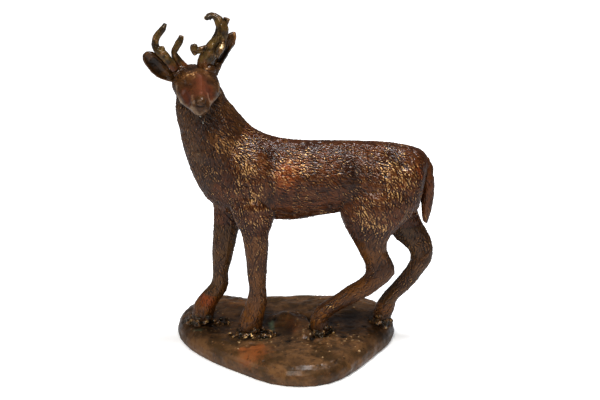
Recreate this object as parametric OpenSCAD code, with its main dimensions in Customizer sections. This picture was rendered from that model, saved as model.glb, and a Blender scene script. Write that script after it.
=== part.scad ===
// Bronze statuette of a standing stag on a cast ground base, as the assembly of castings, sleeves,
// pins and studs that a foundry makes it from.
// Frame: the origin is the middle of the footprint on the surface that the base stands on, +Z is up,
// the stag's trunk faces -X and its head is turned to look along -Y. Lengths are millimetres.

/* [Castings] */
// Wall thickness of the hollow trunk, neck and head
wall = 4; // [3:0.5:5]
// Number of sides round each trunk, neck and head section
body_sides = 24; // [20:4:32]
// Number of sides round each leg section
leg_sides = 16; // [12:4:20]

/* [Ground base] */
// Height of the base's top where the hooves stand
base_height = 15; // [14.5:0.1:15.5]
// Height of the underside of the bosses that the nuts draw up against
boss_face = 6; // [5.5:0.1:6.5]
// Diameter of those bosses
boss_diameter = 9; // [8:0.5:10]

/* [Feet] */
// Height of the hooves' soles, on top of the braze
sole_height = 17.6; // [17.2:0.1:18]
// Diameter of the threaded studs in the hooves
stud_diameter = 3; // [2.5:0.1:3]
// Length of stud inside each hoof
stud_grip = 8; // [6:0.5:8]
// Width across the flats of the stud nuts
nut_across_flats = 5.5; // [5:0.1:5.5]
// Thickness of the stud nuts
nut_thickness = 2.4; // [2:0.1:2.6]
// Outer diameter of the stud washers
washer_diameter = 7; // [6:0.1:7]
// Thickness of the stud washers
washer_thickness = 0.5; // [0.4:0.1:0.6]

/* [Joints between castings] */
// Wall thickness of the sleeves inside the neck joints
sleeve_wall = 2.5; // [2:0.5:3]
// Gap between a sleeve and the castings round it
sleeve_gap = 0.15; // [0.1:0.05:0.3]
// Diameter of the pins through the sleeves
sleeve_pin_diameter = 2.4; // [2:0.2:3]
// Diameter of the plugs in the core-pin holes
plug_diameter = 4; // [3:0.5:5]
// Diameter of the dowels inside the leg joints
dowel_diameter = 3; // [2:0.5:3.5]
// Length of those dowels
dowel_length = 14; // [8:1:16]
// Diameter of the pins that hold the antlers
antler_pin_diameter = 1.6; // [1.2:0.1:1.8]

/* [Hidden] */
$fn = 32;
bronze = [0.30, 0.19, 0.11];
dark_bronze = [0.24, 0.17, 0.10];
olive_bronze = [0.38, 0.33, 0.18];
braze = [0.66, 0.50, 0.22];
steel = [0.60, 0.60, 0.58];

// A section of the trunk, the neck, a leg or the tail lies square to the stag's side view:
// [x and z of its upper or front edge, x and z of its lower or rear edge, y of its middle, half width]
trunk = [
    [89.5, 130, 88, 117, 0, 5],
    [88.4, 137.4, 85.5, 106, 0, 12],
    [84, 143, 82.5, 99, 0, 17.5],
    [74, 146, 72, 97, 0, 21],
    [59, 147.9, 57, 98, 0, 22],
    [42, 148.6, 39, 100.4, 0, 20.5],
    [24, 148.8, 22, 98.2, 0, 20.5],
    [7, 149.2, 5, 95, 0, 21.5],
    [-8, 150.6, -11, 94.6, 0, 22.5],
    [-18.6, 153.6, -30, 96, 0, 22],
    [-25.6, 157.6, -46, 100, 0, 20.5],
    [-30.6, 161.8, -58.4, 110, 0, 19],
    [-34.8, 166.8, -66.7, 125, 0, 18],
    [-39.3, 172, -72, 142, 0, 17],
    [-43.4, 177.5, -75, 158, -1, 16],
    [-45.5, 183, -77, 171, -2, 15],
    [-50, 190, -75, 184, -3, 12]
];
neck_joint = 11;
head_joint = 14;
trunk_end = 16;

// Legs run from inside the trunk to the pastern; the last two sections are the hoof
left_foreleg_line = [
    [-45, 124, -10, 122, -9, 9],
    [-42, 107, -10, 107, -12, 10.5],
    [-38, 96, -12.8, 96, -12.5, 9.4],
    [-34.6, 88, -15.7, 88, -12, 7.8],
    [-32.3, 75, -16.6, 75, -11.5, 6.8],
    [-30.8, 61, -17.3, 61, -11, 6.4],
    [-29.6, 49, -18.2, 49, -11, 5.6],
    [-31, 40, -17.6, 40, -11, 5.8],
    [-33.5, 33.5, -18.1, 35, -11, 6.2],
    [-36.6, 26, -19.8, 27, -11, 6.9],
    [-38, sole_height, -21, sole_height, -11, 7.3]
];
right_foreleg_line = [
    [-46, 125, -20, 123, 9, 9],
    [-54, 108, -25, 108, 12, 10.5],
    [-54.2, 97, -31, 96, 12.5, 9.4],
    [-54.6, 88, -35.4, 88, 12, 7.8],
    [-55.4, 74, -39.2, 74, 11.5, 6.8],
    [-55.6, 61, -42, 61, 11, 6.4],
    [-55.6, 51, -44.8, 51, 11, 5.6],
    [-57.2, 43, -45, 42, 11, 5.8],
    [-62.8, 36.5, -48.2, 34.5, 11, 6.2],
    [-69, 28, -53.6, 27, 11, 6.9],
    [-71.5, sole_height, -56, sole_height, 11, 7.3]
];
left_hind_line = [
    [42, 130, 86, 128, -9, 9],
    [32, 114, 84.6, 117, -11, 12.5],
    [32.6, 99, 79.5, 101, -12.5, 11.5],
    [38.8, 85.5, 66, 87, -12.5, 8.8],
    [44.6, 75, 63.6, 76, -12, 7],
    [48.6, 66, 67.6, 67.5, -11.5, 6.2],
    [49.2, 58.8, 69, 58.6, -11, 6],
    [44.8, 54, 60, 48.4, -11, 5.6],
    [36, 48.4, 47, 40, -11, 5.2],
    [26, 40.8, 34, 33, -11, 5.2],
    [16.8, 34.4, 27, 28.6, -11, 6],
    [12.6, 26, 24, 24.6, -11, 6.6],
    [11.8, sole_height, 25, sole_height, -11, 7]
];
right_hind_line = [
    [50, 128, 84, 126, 9, 9],
    [48, 111, 84.5, 112, 11, 12.5],
    [54, 98, 84.5, 99, 12.5, 11.5],
    [63.4, 85.6, 89.6, 86.5, 12.5, 8.8],
    [71, 75.6, 95, 77, 12, 7],
    [80, 68, 97, 69.6, 11.5, 6.2],
    [81.4, 60.5, 96.2, 60, 11, 6],
    [77.6, 53, 91.4, 52, 11, 5.6],
    [70.6, 44, 84.4, 42.6, 11, 5.2],
    [64, 36, 76.2, 34.4, 11, 5.4],
    [60, 30, 72.2, 29.4, 11, 6],
    [57, 24, 70.8, 23.4, 11, 6.6],
    [55.6, sole_height, 69, sole_height, 11, 7]
];
leg_joint = 3;
fore_pastern = 8;
hind_pastern = 10;

tail_line = [
    [85, 131.8, 91.2, 132, 0, 3.4],
    [86.3, 124, 95.3, 123.4, 0, 4.8],
    [86.4, 112, 95.4, 111, 0, 4.8],
    [87, 102, 94, 100.6, 0, 4],
    [88, 93, 91.4, 91, 0, 2.2]
];

// Across the head a section leans with the face: [x, y and z of its middle, half height, half width]
face_lean = 20;
face = [
    [-65, 11.5, 190.5, 4, 5],
    [-64.8, 8.5, 191, 8.5, 10.5],
    [-64.3, 3, 190.5, 11, 14],
    [-63.2, -4, 189.4, 12, 15.5],
    [-62.2, -11, 187.6, 11.8, 15.4],
    [-61.3, -18, 185.6, 10.6, 13.2],
    [-60.2, -25.5, 183.6, 9.2, 10.2],
    [-59.2, -32, 182.2, 8, 8],
    [-58.4, -37.5, 181.4, 6.8, 6.4],
    [-57.9, -40.5, 181.2, 4.2, 4.2]
];
nose = [-57.3, -39.8, 185.6];
nose_diameter = 7.2;

// Ears: [x and z of one edge, x and z of the other edge, y of the middle, half depth]
left_ear_line = [
    [-53, 196, -49, 192.4, 3, 3.4],
    [-51.6, 202, -45.8, 200, 4, 3.8],
    [-49, 207, -42, 206, 4.5, 4],
    [-45.4, 212, -38.6, 211.8, 5, 3.6],
    [-42, 217.4, -36.4, 217.2, 5.5, 2.6],
    [-40.2, 220.8, -37.2, 220.8, 6, 1.2]
];
right_ear_line = [
    [-75.5, 188.8, -74.6, 195.2, -3, 3.2],
    [-82.2, 191, -79.8, 199.2, -5, 4.2],
    [-88.2, 193.6, -82.6, 203.6, -6, 4.8],
    [-93.2, 199, -86, 207.6, -7, 4.4],
    [-96.8, 205.2, -90, 210.8, -8, 3],
    [-96.6, 209, -94, 211.2, -8.6, 1.2]
];
ear_wall = 1.3;
ear_cup_shift = 3.2;

// Antler branches: [x, y, z, radius] along the middle of each
left_antler_line = [
    [-57.4, -3, 197, 5.6], [-56, -5, 204, 5.4], [-53, -6, 210.4, 5.5], [-49.2, -6, 215.4, 5],
    [-46.4, -6, 220, 4.6], [-45.2, -6, 225, 4.3], [-46.2, -6, 229.2, 3.6], [-48.8, -6, 232.6, 2.5],
    [-51.6, -6, 233.8, 2.1], [-54, -6, 232.6, 2.6]
];
left_rear_tine_line = [[-45, -5, 224.5, 2], [-43, -4, 228.4, 2], [-42, -4, 231.8, 2.3]];
left_front_tine_line = [
    [-46, -8, 220.5, 2], [-44.4, -12, 218.4, 2.1], [-45.6, -14, 214.4, 2.3], [-47.4, -14.5, 211.4, 2],
    [-48.4, -14.5, 207.8, 1.5]
];
left_brow_tine_line = [
    [-53, -7, 212.6, 3], [-57.6, -9, 212.8, 2.3], [-60.8, -10, 212, 2.2], [-63, -10.5, 213, 2.6],
    [-63.2, -10.5, 216, 2.4]
];
right_brow_tine_line = [
    [-69, -3, 196, 4.2], [-72.4, -4, 201.4, 3.2], [-75.3, -4.5, 205.8, 2.9], [-76.6, -5, 209.4, 2.3],
    [-74.8, -5, 213.4, 2.1], [-72.7, -5, 216.8, 2.3], [-71.5, -5, 220.6, 1.4]
];
right_antler_line = [
    [-75.2, -10, 199.2, 2.7], [-79.4, -10, 205, 3], [-83.2, -9.6, 209.6, 3], [-87, -9, 212.4, 2.8],
    [-88.4, -8.6, 215.8, 2.5], [-87.4, -8, 220, 2.4], [-85, -7.6, 223.6, 2.3], [-82.6, -7.4, 226.4, 2.1],
    [-81.4, -7.2, 229.2, 1.3]
];
right_antler_nub = [-84, -9.4, 212.4, 2.4];

// Outline of the base seen from above, drawn through these points
ground = [
    [-76.5, 0], [-66.5, -16], [-51, -33], [-33, -48.5], [-15, -62.5], [6, -67.5], [25, -62.5], [39, -49],
    [50, -32], [59, -16], [67, -2], [71.6, 15], [70.4, 34], [66, 52], [55, 65], [38, 67.5], [14, 66.5],
    [-14, 64.5], [-38, 61.5], [-57, 65.5], [-72.5, 57], [-80.8, 39], [-82, 18]
];
ground_middle = [-4, 2];
// Each level of the base's outer skin: [share of the outline, height as a share of base_height]
ground_levels = [
    [0.965, 0], [0.992, 0.12], [1, 0.34], [0.99, 0.57], [0.96, 0.77], [0.91, 0.91], [0.83, 0.965],
    [0.72, 0.99], [0.58, 1], [0.44, 1], [0.3, 1], [0.16, 1], [0.03, 1]
];
// Each level of the hollow under it: [share of the outline, height]
hollow_levels = [[0.92, -1], [0.92, 4], [0.905, 7], [0.86, 9.2], [0.76, 10.2], [0.5, 10.6], [0.03, 10.6]];
// Low mounds and the rock outcrop on the ground: [x, y, spread, height]
mounds = [[-7, 12, 7, 4.6], [2, 3, 6, 4], [12, 14, 6, 2], [-34, 38, 13, 2], [30, 40, 15, 1.6], [6, -36, 15, 1.4]];

// Where each hoof's stud stands: [x, y]
left_fore_stud = [-29, -11];
right_fore_stud = [-63.5, 11];
left_hind_stud = [18.6, -11];
right_hind_stud = [60.4, 11];
studs = [left_fore_stud, right_fore_stud, left_hind_stud, right_hind_stud];
stud_hole_diameter = stud_diameter + 0.4;
cleft_width = 1.2;
cleft_depth = 3;
cleft_height = 7;

// Point a share t of the way from b to c on the smooth curve through a, b, c and d
function curve(a, b, c, d, t) =
    b + (c - a) * t / 2
    + (2 * a - 5 * b + 4 * c - d) * t * t / 2
    + (3 * b - a - 3 * c + d) * t * t * t / 2;

// The section at a whole or fractional place along a line of sections
function section(line, place) =
    let (
        last = len(line) - 1,
        i = min(floor(place), last - 1),
        before = line[max(i - 1, 0)],
        after = line[min(i + 2, last)]
    )
    curve(before, line[i], line[i + 1], after, place - i);

function sections(line, from, to) = [for (place = [from : 0.5 : to]) section(line, place)];

function middle(s) = [(s[0] + s[2]) / 2, s[4], (s[1] + s[3]) / 2];

// Oval ring round a side section, drawn in from its edge by inset
function side_ring(s, sides, inset = 0) =
    let (
        reach = [(s[0] - s[2]) / 2, 0, (s[1] - s[3]) / 2],
        up = reach * (1 - inset / norm(reach)),
        across = [0, s[5] - inset, 0]
    )
    [for (k = [0 : sides - 1]) middle(s) + up * cos(360 * k / sides) + across * sin(360 * k / sides)];

function face_ring(s, sides) =
    let (up = [0, -s[3] * sin(face_lean), s[3] * cos(face_lean)], across = [s[4], 0, 0])
    [for (k = [0 : sides - 1])
        [s[0], s[1], s[2]] + up * cos(360 * k / sides) + across * sin(360 * k / sides)];

function place_of(s) = [s[0], s[1], s[2]];

// Round ring square to the way that a branch runs at place i of its smoothed line
function branch_ring(line, i, sides) =
    let (
        ahead = place_of(line[min(i + 1, len(line) - 1)]) - place_of(line[max(i - 1, 0)]),
        across = cross(ahead, [0, 1, 0]) / norm(cross(ahead, [0, 1, 0])),
        up = cross(across, ahead) / norm(ahead)
    )
    [for (k = [0 : sides - 1])
        place_of(line[i]) + line[i][3] * (across * cos(360 * k / sides) + up * sin(360 * k / sides))];

function ring_middle(ring) = (ring[0] + ring[round(len(ring) / 2)]) / 2;

// Closed skin over a row of rings, with a flat end at each end of the row
module skin(rings) {
    n = len(rings[0]);
    last = len(rings) - 1;
    turn = cross(rings[0][0] - ring_middle(rings[0]), rings[0][round(n / 4)] - ring_middle(rings[0]));
    forward = turn * (ring_middle(rings[1]) - ring_middle(rings[0])) > 0;
    row = forward ? rings : [for (k = [last : -1 : 0]) rings[k]];
    walls = [
        for (r = [0 : last - 1]) for (k = [0 : n - 1])
            let (a = r * n + k, b = r * n + (k + 1) % n)
            each [[a, a + n, b + n], [a, b + n, b]]
    ];
    ends = [[for (k = [0 : n - 1]) k], [for (k = [n - 1 : -1 : 0]) last * n + k]];
    polyhedron(points = [for (ring = row) each ring], faces = concat(walls, ends), convexity = 6);
}

// Several skins merged or cut into one cast surface
module one_surface() {
    resize([0, 0, 0]) children();
}

module body_skin(line, from, to, inset = 0) {
    skin([for (s = sections(line, from, to)) side_ring(s, body_sides, inset)]);
}

module leg_skin(line, from, to, inset = 0) {
    skin([for (s = sections(line, from, to)) side_ring(s, leg_sides, inset)]);
}

module branch(line, sides = 10) {
    smooth = sections(line, 0, len(line) - 1);
    skin([for (i = [0 : len(smooth) - 1]) branch_ring(smooth, i, sides)]);
}

module rod(from, to, diameter) {
    along = to - from;
    translate(from)
        rotate([0, acos(along.z / norm(along)), atan2(along.y, along.x)])
            cylinder(h = norm(along), d = diameter);
}

// Ground base -----------------------------------------------------------------------------------

function mound_height(p) =
    [for (m = mounds) 1] * [for (m = mounds) m[3] * exp(-pow(norm(p - [m[0], m[1]]) / m[2], 2))];

function ground_outline() =
    let (n = len(ground))
    [for (i = [0 : n - 1]) for (t = [0, 0.5])
        curve(ground[(i + n - 1) % n], ground[i], ground[(i + 1) % n], ground[(i + 2) % n], t)];

// Mounds fade in over the rolled edge, and the innermost ring is level
function ground_ring(share, z, rise) =
    [for (p = ground_outline())
        let (q = ground_middle + (p - ground_middle) * share)
        [q.x, q.y, z + rise * (share < 0.1 ? mound_height(ground_middle) : mound_height(q))]];

module ground_skin() {
    skin([for (level = ground_levels)
        ground_ring(level[0], level[1] * base_height, level[1] > 0.95 ? 1 : 0)]);
}

module ground_hollow() {
    difference() {
        skin([for (level = hollow_levels) ground_ring(level[0], level[1], 0)]);
        for (at = studs) {
            translate([at.x, at.y, boss_face])
                cylinder(h = base_height, d = boss_diameter);
        }
    }
}

module base_shell() {
    color(dark_bronze)
        difference() {
            ground_skin();
            ground_hollow();
            for (at = studs) {
                translate([at.x, at.y, -1])
                    cylinder(h = 2 * base_height, d = stud_hole_diameter);
            }
        }
}

// Rough lump of braze between one hoof's sole and the ground
module braze_pad(leg, at) {
    sole = leg[len(leg) - 1];
    spread = function (k) 1.1 + 0.08 * sin(130 * k) + 0.06 * sin(205 * k);
    ring = side_ring(sole, leg_sides);
    pad_middle = middle(sole);
    difference() {
        one_surface() {
            difference() {
                skin([
                    for (level = [[0.92, 0], [1.06, -1.6], [1.1, -6]])
                        [for (k = [0 : leg_sides - 1])
                            pad_middle + (ring[k] - pad_middle) * spread(k) * level[0] + [0, 0, level[1]]]
                ]);
                ground_skin();
            }
        }
        translate([at.x, at.y, 0])
            cylinder(h = 2 * sole_height, d = stud_diameter);
    }
}

module braze_pads() {
    color(braze) {
        braze_pad(left_foreleg_line, left_fore_stud);
        braze_pad(right_foreleg_line, right_fore_stud);
        braze_pad(left_hind_line, left_hind_stud);
        braze_pad(right_hind_line, right_hind_stud);
    }
}

module hoof_studs() {
    low_end = boss_face - washer_thickness - nut_thickness - 1;
    color(steel)
        for (at = studs) {
            translate([at.x, at.y, low_end])
                cylinder(h = sole_height + stud_grip - low_end, d = stud_diameter);
        }
}

module stud_washers() {
    color(steel)
        for (at = studs) {
            translate([at.x, at.y, boss_face - washer_thickness])
                difference() {
                    cylinder(h = washer_thickness, d = washer_diameter);
                    translate([0, 0, -1])
                        cylinder(h = 3, d = stud_hole_diameter);
                }
        }
}

module stud_nuts() {
    color(steel)
        for (at = studs) {
            translate([at.x, at.y, boss_face - washer_thickness - nut_thickness])
                difference() {
                    cylinder(h = nut_thickness, d = nut_across_flats / cos(30), $fn = 6);
                    translate([0, 0, -1])
                        cylinder(h = nut_thickness + 2, d = stud_diameter);
                }
        }
}

// Hooves and legs ---------------------------------------------------------------------------------

module hoof(leg, pastern, at) {
    toe = leg[len(leg) - 1];
    color(bronze)
        difference() {
            leg_skin(leg, pastern, len(leg) - 1);
            translate([toe[0] - cleft_depth, toe[4] - cleft_width / 2, sole_height - 1])
                cube([2 * cleft_depth, cleft_width, cleft_height + 1]);
            translate([at.x, at.y, sole_height - 1])
                cylinder(h = stud_grip + 1, d = stud_diameter);
        }
}

module left_fore_hoof() {
    hoof(left_foreleg_line, fore_pastern, left_fore_stud);
}

module right_fore_hoof() {
    hoof(right_foreleg_line, fore_pastern, right_fore_stud);
}

module left_hind_hoof() {
    hoof(left_hind_line, hind_pastern, left_hind_stud);
}

module right_hind_hoof() {
    hoof(right_hind_line, hind_pastern, right_hind_stud);
}

// A dowel lies across the middle of a leg's joint face, half in the leg and half in the trunk
module leg_dowel(leg) {
    joint = leg[leg_joint];
    across = [joint[2] - joint[0], 0, joint[3] - joint[1]];
    along = cross([0, 1, 0], across) / norm(across);
    up = along.z > 0 ? along : -along;
    rod(middle(joint) - up * dowel_length / 2, middle(joint) + up * dowel_length / 2, dowel_diameter);
}

module leg(line, pastern) {
    color(bronze)
        difference() {
            leg_skin(line, leg_joint, pastern);
            leg_dowel(line);
        }
}

module left_foreleg() {
    leg(left_foreleg_line, fore_pastern);
}

module right_foreleg() {
    leg(right_foreleg_line, fore_pastern);
}

module left_hind_leg() {
    leg(left_hind_line, hind_pastern);
}

module right_hind_leg() {
    leg(right_hind_line, hind_pastern);
}

module all_dowels() {
    leg_dowel(left_foreleg_line);
    leg_dowel(right_foreleg_line);
    leg_dowel(left_hind_line);
    leg_dowel(right_hind_line);
}

module leg_dowels() {
    color(steel)
        all_dowels();
}

// Trunk, tail and neck ------------------------------------------------------------------------------

module trunk_surface() {
    one_surface() {
        union() {
            body_skin(trunk, 0, neck_joint);
            leg_skin(left_foreleg_line, 0, leg_joint);
            leg_skin(right_foreleg_line, 0, leg_joint);
            leg_skin(left_hind_line, 0, leg_joint);
            leg_skin(right_hind_line, 0, leg_joint);
        }
    }
}

// Cores run through the trunk at these sections, and leave a hole to plug on each side
core_places = [4.6, 7];

module plug(place, side, extra) {
    s = section(trunk, place);
    mid = middle(s);
    rod([mid.x, side * (s[5] - wall - extra), mid.z], [mid.x, side * (s[5] - 0.3 + extra), mid.z], plug_diameter);
}

// Pins lie beside each neck joint, one on each side of the stag in each of the two castings
pin_offset = 0.22;
pin_places = [
    neck_joint - pin_offset, neck_joint + pin_offset, head_joint - pin_offset, head_joint + pin_offset
];

module sleeve_pin(place, side, extra) {
    s = section(trunk, place);
    mid = middle(s);
    rod(
        [mid.x, mid.y + side * (s[5] - wall - sleeve_gap - sleeve_wall - extra), mid.z],
        [mid.x, mid.y + side * (s[5] - 0.6 + extra), mid.z],
        sleeve_pin_diameter
    );
}

module pin_holes() {
    for (place = pin_places) {
        for (side = [-1, 1]) {
            sleeve_pin(place, side, 1);
        }
    }
}

module torso_shell() {
    color(bronze)
        difference() {
            trunk_surface();
            body_skin(trunk, 2, neck_joint + 0.5, wall);
            all_dowels();
            pin_holes();
            for (place = core_places) {
                for (side = [-1, 1]) {
                    plug(place, side, 1);
                }
            }
        }
}

module core_plugs() {
    color(bronze)
        for (place = core_places) {
            for (side = [-1, 1]) {
                plug(place, side, 0);
            }
        }
}

module tail() {
    color(bronze)
        one_surface() {
            difference() {
                leg_skin(tail_line, 0, len(tail_line) - 1);
                trunk_surface();
            }
        }
}

module neck_shell() {
    color(bronze)
        difference() {
            body_skin(trunk, neck_joint, head_joint);
            body_skin(trunk, neck_joint - 0.5, head_joint + 0.5, wall);
            pin_holes();
        }
}

// Short tube that bridges a joint of the neck from inside
module sleeve(joint) {
    color(bronze)
        difference() {
            body_skin(trunk, joint - 0.5, joint + 0.5, wall + sleeve_gap);
            body_skin(trunk, joint - 1, joint + 1, wall + sleeve_gap + sleeve_wall);
            pin_holes();
        }
}

module neck_sleeve() {
    sleeve(neck_joint);
}

module head_sleeve() {
    sleeve(head_joint);
}

module sleeve_pins() {
    color(steel)
        for (place = pin_places) {
            for (side = [-1, 1]) {
                sleeve_pin(place, side, 0);
            }
        }
}

// Head, ears and antlers ----------------------------------------------------------------------------

module head_surface() {
    one_surface() {
        union() {
            skin([for (s = sections(face, 0, len(face) - 1)) face_ring(s, body_sides)]);
            body_skin(trunk, head_joint, trunk_end);
            translate(nose)
                sphere(d = nose_diameter, $fn = 20);
        }
    }
}

// Pins between the antlers and the skull: [outer end, inner end]
antler_pin_ends = [
    [[-55.6, -5.2, 205], [-59.4, -2.5, 192]],
    [[-72.6, -4.2, 203], [-67, -2.8, 192]]
];

module all_antler_pins() {
    for (ends = antler_pin_ends) {
        rod(ends[1], ends[0], antler_pin_diameter);
    }
}

module antler_pins() {
    color(steel)
        all_antler_pins();
}

module head_casting() {
    color(bronze)
        difference() {
            head_surface();
            body_skin(trunk, head_joint - 0.5, head_joint + 1, wall);
            all_antler_pins();
            pin_holes();
        }
}

// A cupped ear whose hollow side faces the way the stag looks, coped to sit on the skull
module ear(line) {
    color(bronze)
        one_surface() {
            difference() {
                leg_skin(line, 0, len(line) - 1);
                translate([0, -ear_cup_shift, 0])
                    leg_skin(line, 1, len(line) - 1.5, ear_wall);
                head_surface();
            }
        }
}

module left_ear() {
    ear(left_ear_line);
}

module right_ear() {
    ear(right_ear_line);
}

module left_antler() {
    color(olive_bronze)
        difference() {
            one_surface() {
                difference() {
                    branch(left_antler_line, 14);
                    head_surface();
                    ear(left_ear_line);
                }
            }
            all_antler_pins();
        }
}

// A short branch brazed to the beam, coped to fit it
module left_tine(line) {
    color(olive_bronze)
        one_surface() {
            difference() {
                branch(line);
                branch(left_antler_line, 14);
            }
        }
}

module left_brow_tine() {
    left_tine(left_brow_tine_line);
}

module left_front_tine() {
    left_tine(left_front_tine_line);
}

module left_rear_tine() {
    left_tine(left_rear_tine_line);
}

module right_brow_tine() {
    color(olive_bronze)
        difference() {
            one_surface() {
                difference() {
                    branch(right_brow_tine_line);
                    head_surface();
                }
            }
            all_antler_pins();
        }
}

module right_antler() {
    color(olive_bronze)
        one_surface() {
            difference() {
                union() {
                    branch(right_antler_line);
                    translate(place_of(right_antler_nub))
                        sphere(r = right_antler_nub[3], $fn = 12);
                }
                branch(right_brow_tine_line);
                head_surface();
                ear(right_ear_line);
            }
        }
}

base_shell();
braze_pads();
hoof_studs();
stud_washers();
stud_nuts();
left_fore_hoof();
right_fore_hoof();
left_hind_hoof();
right_hind_hoof();
left_foreleg();
right_foreleg();
left_hind_leg();
right_hind_leg();
leg_dowels();
torso_shell();
core_plugs();
tail();
neck_sleeve();
neck_shell();
sleeve_pins();
head_sleeve();
head_casting();
left_ear();
right_ear();
left_antler();
left_brow_tine();
left_front_tine();
left_rear_tine();
right_antler();
right_brow_tine();
antler_pins();
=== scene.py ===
import math

import bmesh
import bpy
import numpy as np
from mathutils import Matrix, Vector
from mathutils.bvhtree import BVHTree


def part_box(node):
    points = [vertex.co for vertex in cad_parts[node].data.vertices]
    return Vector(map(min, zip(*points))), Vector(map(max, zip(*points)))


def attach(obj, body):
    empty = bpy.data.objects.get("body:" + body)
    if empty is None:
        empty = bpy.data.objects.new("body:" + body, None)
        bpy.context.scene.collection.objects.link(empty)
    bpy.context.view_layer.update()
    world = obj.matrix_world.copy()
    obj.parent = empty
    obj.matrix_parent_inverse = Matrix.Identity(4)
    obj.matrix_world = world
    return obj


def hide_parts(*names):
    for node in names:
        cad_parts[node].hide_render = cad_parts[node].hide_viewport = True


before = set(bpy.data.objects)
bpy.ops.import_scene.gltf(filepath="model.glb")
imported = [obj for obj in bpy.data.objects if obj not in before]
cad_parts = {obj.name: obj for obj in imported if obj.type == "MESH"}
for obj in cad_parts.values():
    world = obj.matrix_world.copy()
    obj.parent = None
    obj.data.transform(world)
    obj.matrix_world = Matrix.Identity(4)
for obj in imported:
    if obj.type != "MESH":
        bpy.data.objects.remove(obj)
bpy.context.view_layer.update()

MM = 0.001

# Ground casting -----------------------------------------------------------------------------------
# A hollow slab of cast bronze, modelled as worn ground with a tilted rock, and open underneath.
# It is poured in one, dressed smooth over the rolled edge, and its dark patina is waxed.


def gathered(piece_name, nodes):
    """One new piece that holds copies of the frame's nodes."""
    work = bmesh.new()
    for node in nodes:
        work.from_mesh(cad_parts[node].data)
    mesh = bpy.data.meshes.new(piece_name)
    work.to_mesh(mesh)
    work.free()
    piece = bpy.data.objects.new(piece_name, mesh)
    bpy.context.scene.collection.objects.link(piece)
    return piece


def daub(piece, balls):
    """Adds balls to a piece, each given as its middle and its reach across, along and up."""
    work = bmesh.new()
    work.from_mesh(piece.data)
    for middle, reach in balls:
        shape = Matrix.LocRotScale(Vector(middle), None, Vector(reach))
        bmesh.ops.create_icosphere(work, subdivisions=3, radius=1.0, matrix=shape)
    work.to_mesh(piece.data)
    work.free()


def recast(piece, grain):
    """Runs the piece together into one closed skin of even grain."""
    remesh = piece.modifiers.new("recast", "REMESH")
    remesh.mode = "VOXEL"
    remesh.voxel_size = grain
    mesh = bpy.data.meshes.new_from_object(piece.evaluated_get(bpy.context.evaluated_depsgraph_get()))
    piece.modifiers.clear()
    piece.data = mesh
    piece.data.materials.clear()


def spot(node, across, along, up):
    """The point at these shares of a node's box, from its lowest corner."""
    low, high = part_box(node)
    shares = Vector((across, along, up))
    return np.array([low[k] + shares[k] * (high[k] - low[k]) for k in range(3)])


def lumps(points, size, seed):
    """Smooth random rise and fall from -1 to 1, with lumps about as wide as the size."""
    place = points / size + 7.31 * seed
    cell = np.floor(place).astype(np.int64)
    part = place - cell
    part = part * part * (3 - 2 * part)
    total = np.zeros(len(points))
    for corner in np.ndindex(2, 2, 2):
        at = cell + np.array(corner)
        mixed = at[:, 0] * 73856093 ^ at[:, 1] * 19349663 ^ at[:, 2] * 83492791 ^ seed * 2654435761
        mixed = (mixed ^ (mixed >> 13)) * 1274126177 & 0xFFFFFFFF
        mixed = (mixed ^ (mixed >> 16)) & 0xFFFF
        share = np.prod(np.where(np.array(corner) == 1, part, 1 - part), axis=1)
        total += share * (mixed / 32767.5 - 1)
    return total


class Skin:
    """The points of a piece while they are being worked on."""

    def __init__(self, piece):
        self.mesh = piece.data
        self.count = len(self.mesh.vertices)
        flat = np.empty(self.count * 3, np.float32)
        self.mesh.vertices.foreach_get("co", flat)
        self.points = flat.reshape(-1, 3).astype(float)
        ends = np.empty(len(self.mesh.edges) * 2, np.int32)
        self.mesh.edges.foreach_get("vertices", ends)
        self.ends = ends.reshape(-1, 2).T
        self.rise = np.zeros(self.count)

    def write(self):
        self.mesh.vertices.foreach_set("co", self.points.astype(np.float32).ravel())
        self.mesh.update()

    def normals(self):
        self.write()
        flat = np.empty(self.count * 3, np.float32)
        self.mesh.vertex_normals.foreach_get("vector", flat)
        return flat.reshape(-1, 3).astype(float)

    def round_off(self, field, times, pull=0.5):
        """Evens a value out between neighbouring points."""
        one, other = self.ends
        share = 1 / np.maximum(np.bincount(np.concatenate([one, other]), minlength=self.count), 1)
        for _ in range(times):
            near = np.bincount(one, field[other], self.count) + np.bincount(other, field[one], self.count)
            field = field + pull * (near * share - field)
        return field

    def settle(self, times):
        """Smooths the grain of the recasting away and keeps the volume."""
        for _ in range(times):
            for pull in (0.5, -0.53):
                columns = [self.round_off(self.points[:, k], 1, pull) for k in range(3)]
                self.points = np.stack(columns, axis=1)

    def near(self, path, reach):
        """1 along a path of spots and fading away from it over the reach."""
        nearest = np.full(self.count, np.inf)
        for start, end in zip(path, path[1:] or path):
            run = end - start
            share = np.clip((self.points - start) @ run / max(run @ run, 1e-12), 0, 1)
            gap = self.points - start - share[:, None] * run
            nearest = np.minimum(nearest, (gap * gap).sum(axis=1))
        return np.exp(-nearest / reach ** 2)

    def press(self, path, reach, height):
        """Raises or sinks the skin along a path of spots."""
        self.rise += height * self.near(path, reach)

    def work_in(self):
        """Moves the skin along its normals by the rise that the pressing has built up."""
        self.points += self.normals() * self.rise[:, None]
        self.rise[:] = 0

    def keep_swell(self, times, flat, full):
        """Stores how far the skin stands out or in against its smoothed self."""
        smooth = np.stack([self.round_off(self.points[:, k], times, 0.8) for k in range(3)], axis=1)
        swell = self.round_off(((self.points - smooth) * self.normals()).sum(axis=1), 3) - flat
        self.keep("crest", np.clip(swell / full, 0, 1))
        self.keep("hollow", np.clip(-swell / full, 0, 1))

    def keep(self, layer, values):
        """Stores a value for each point, for the patina to follow."""
        store = self.mesh.attributes.new(layer, "FLOAT", "POINT")
        store.data.foreach_set("value", values.astype(np.float32))


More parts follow.
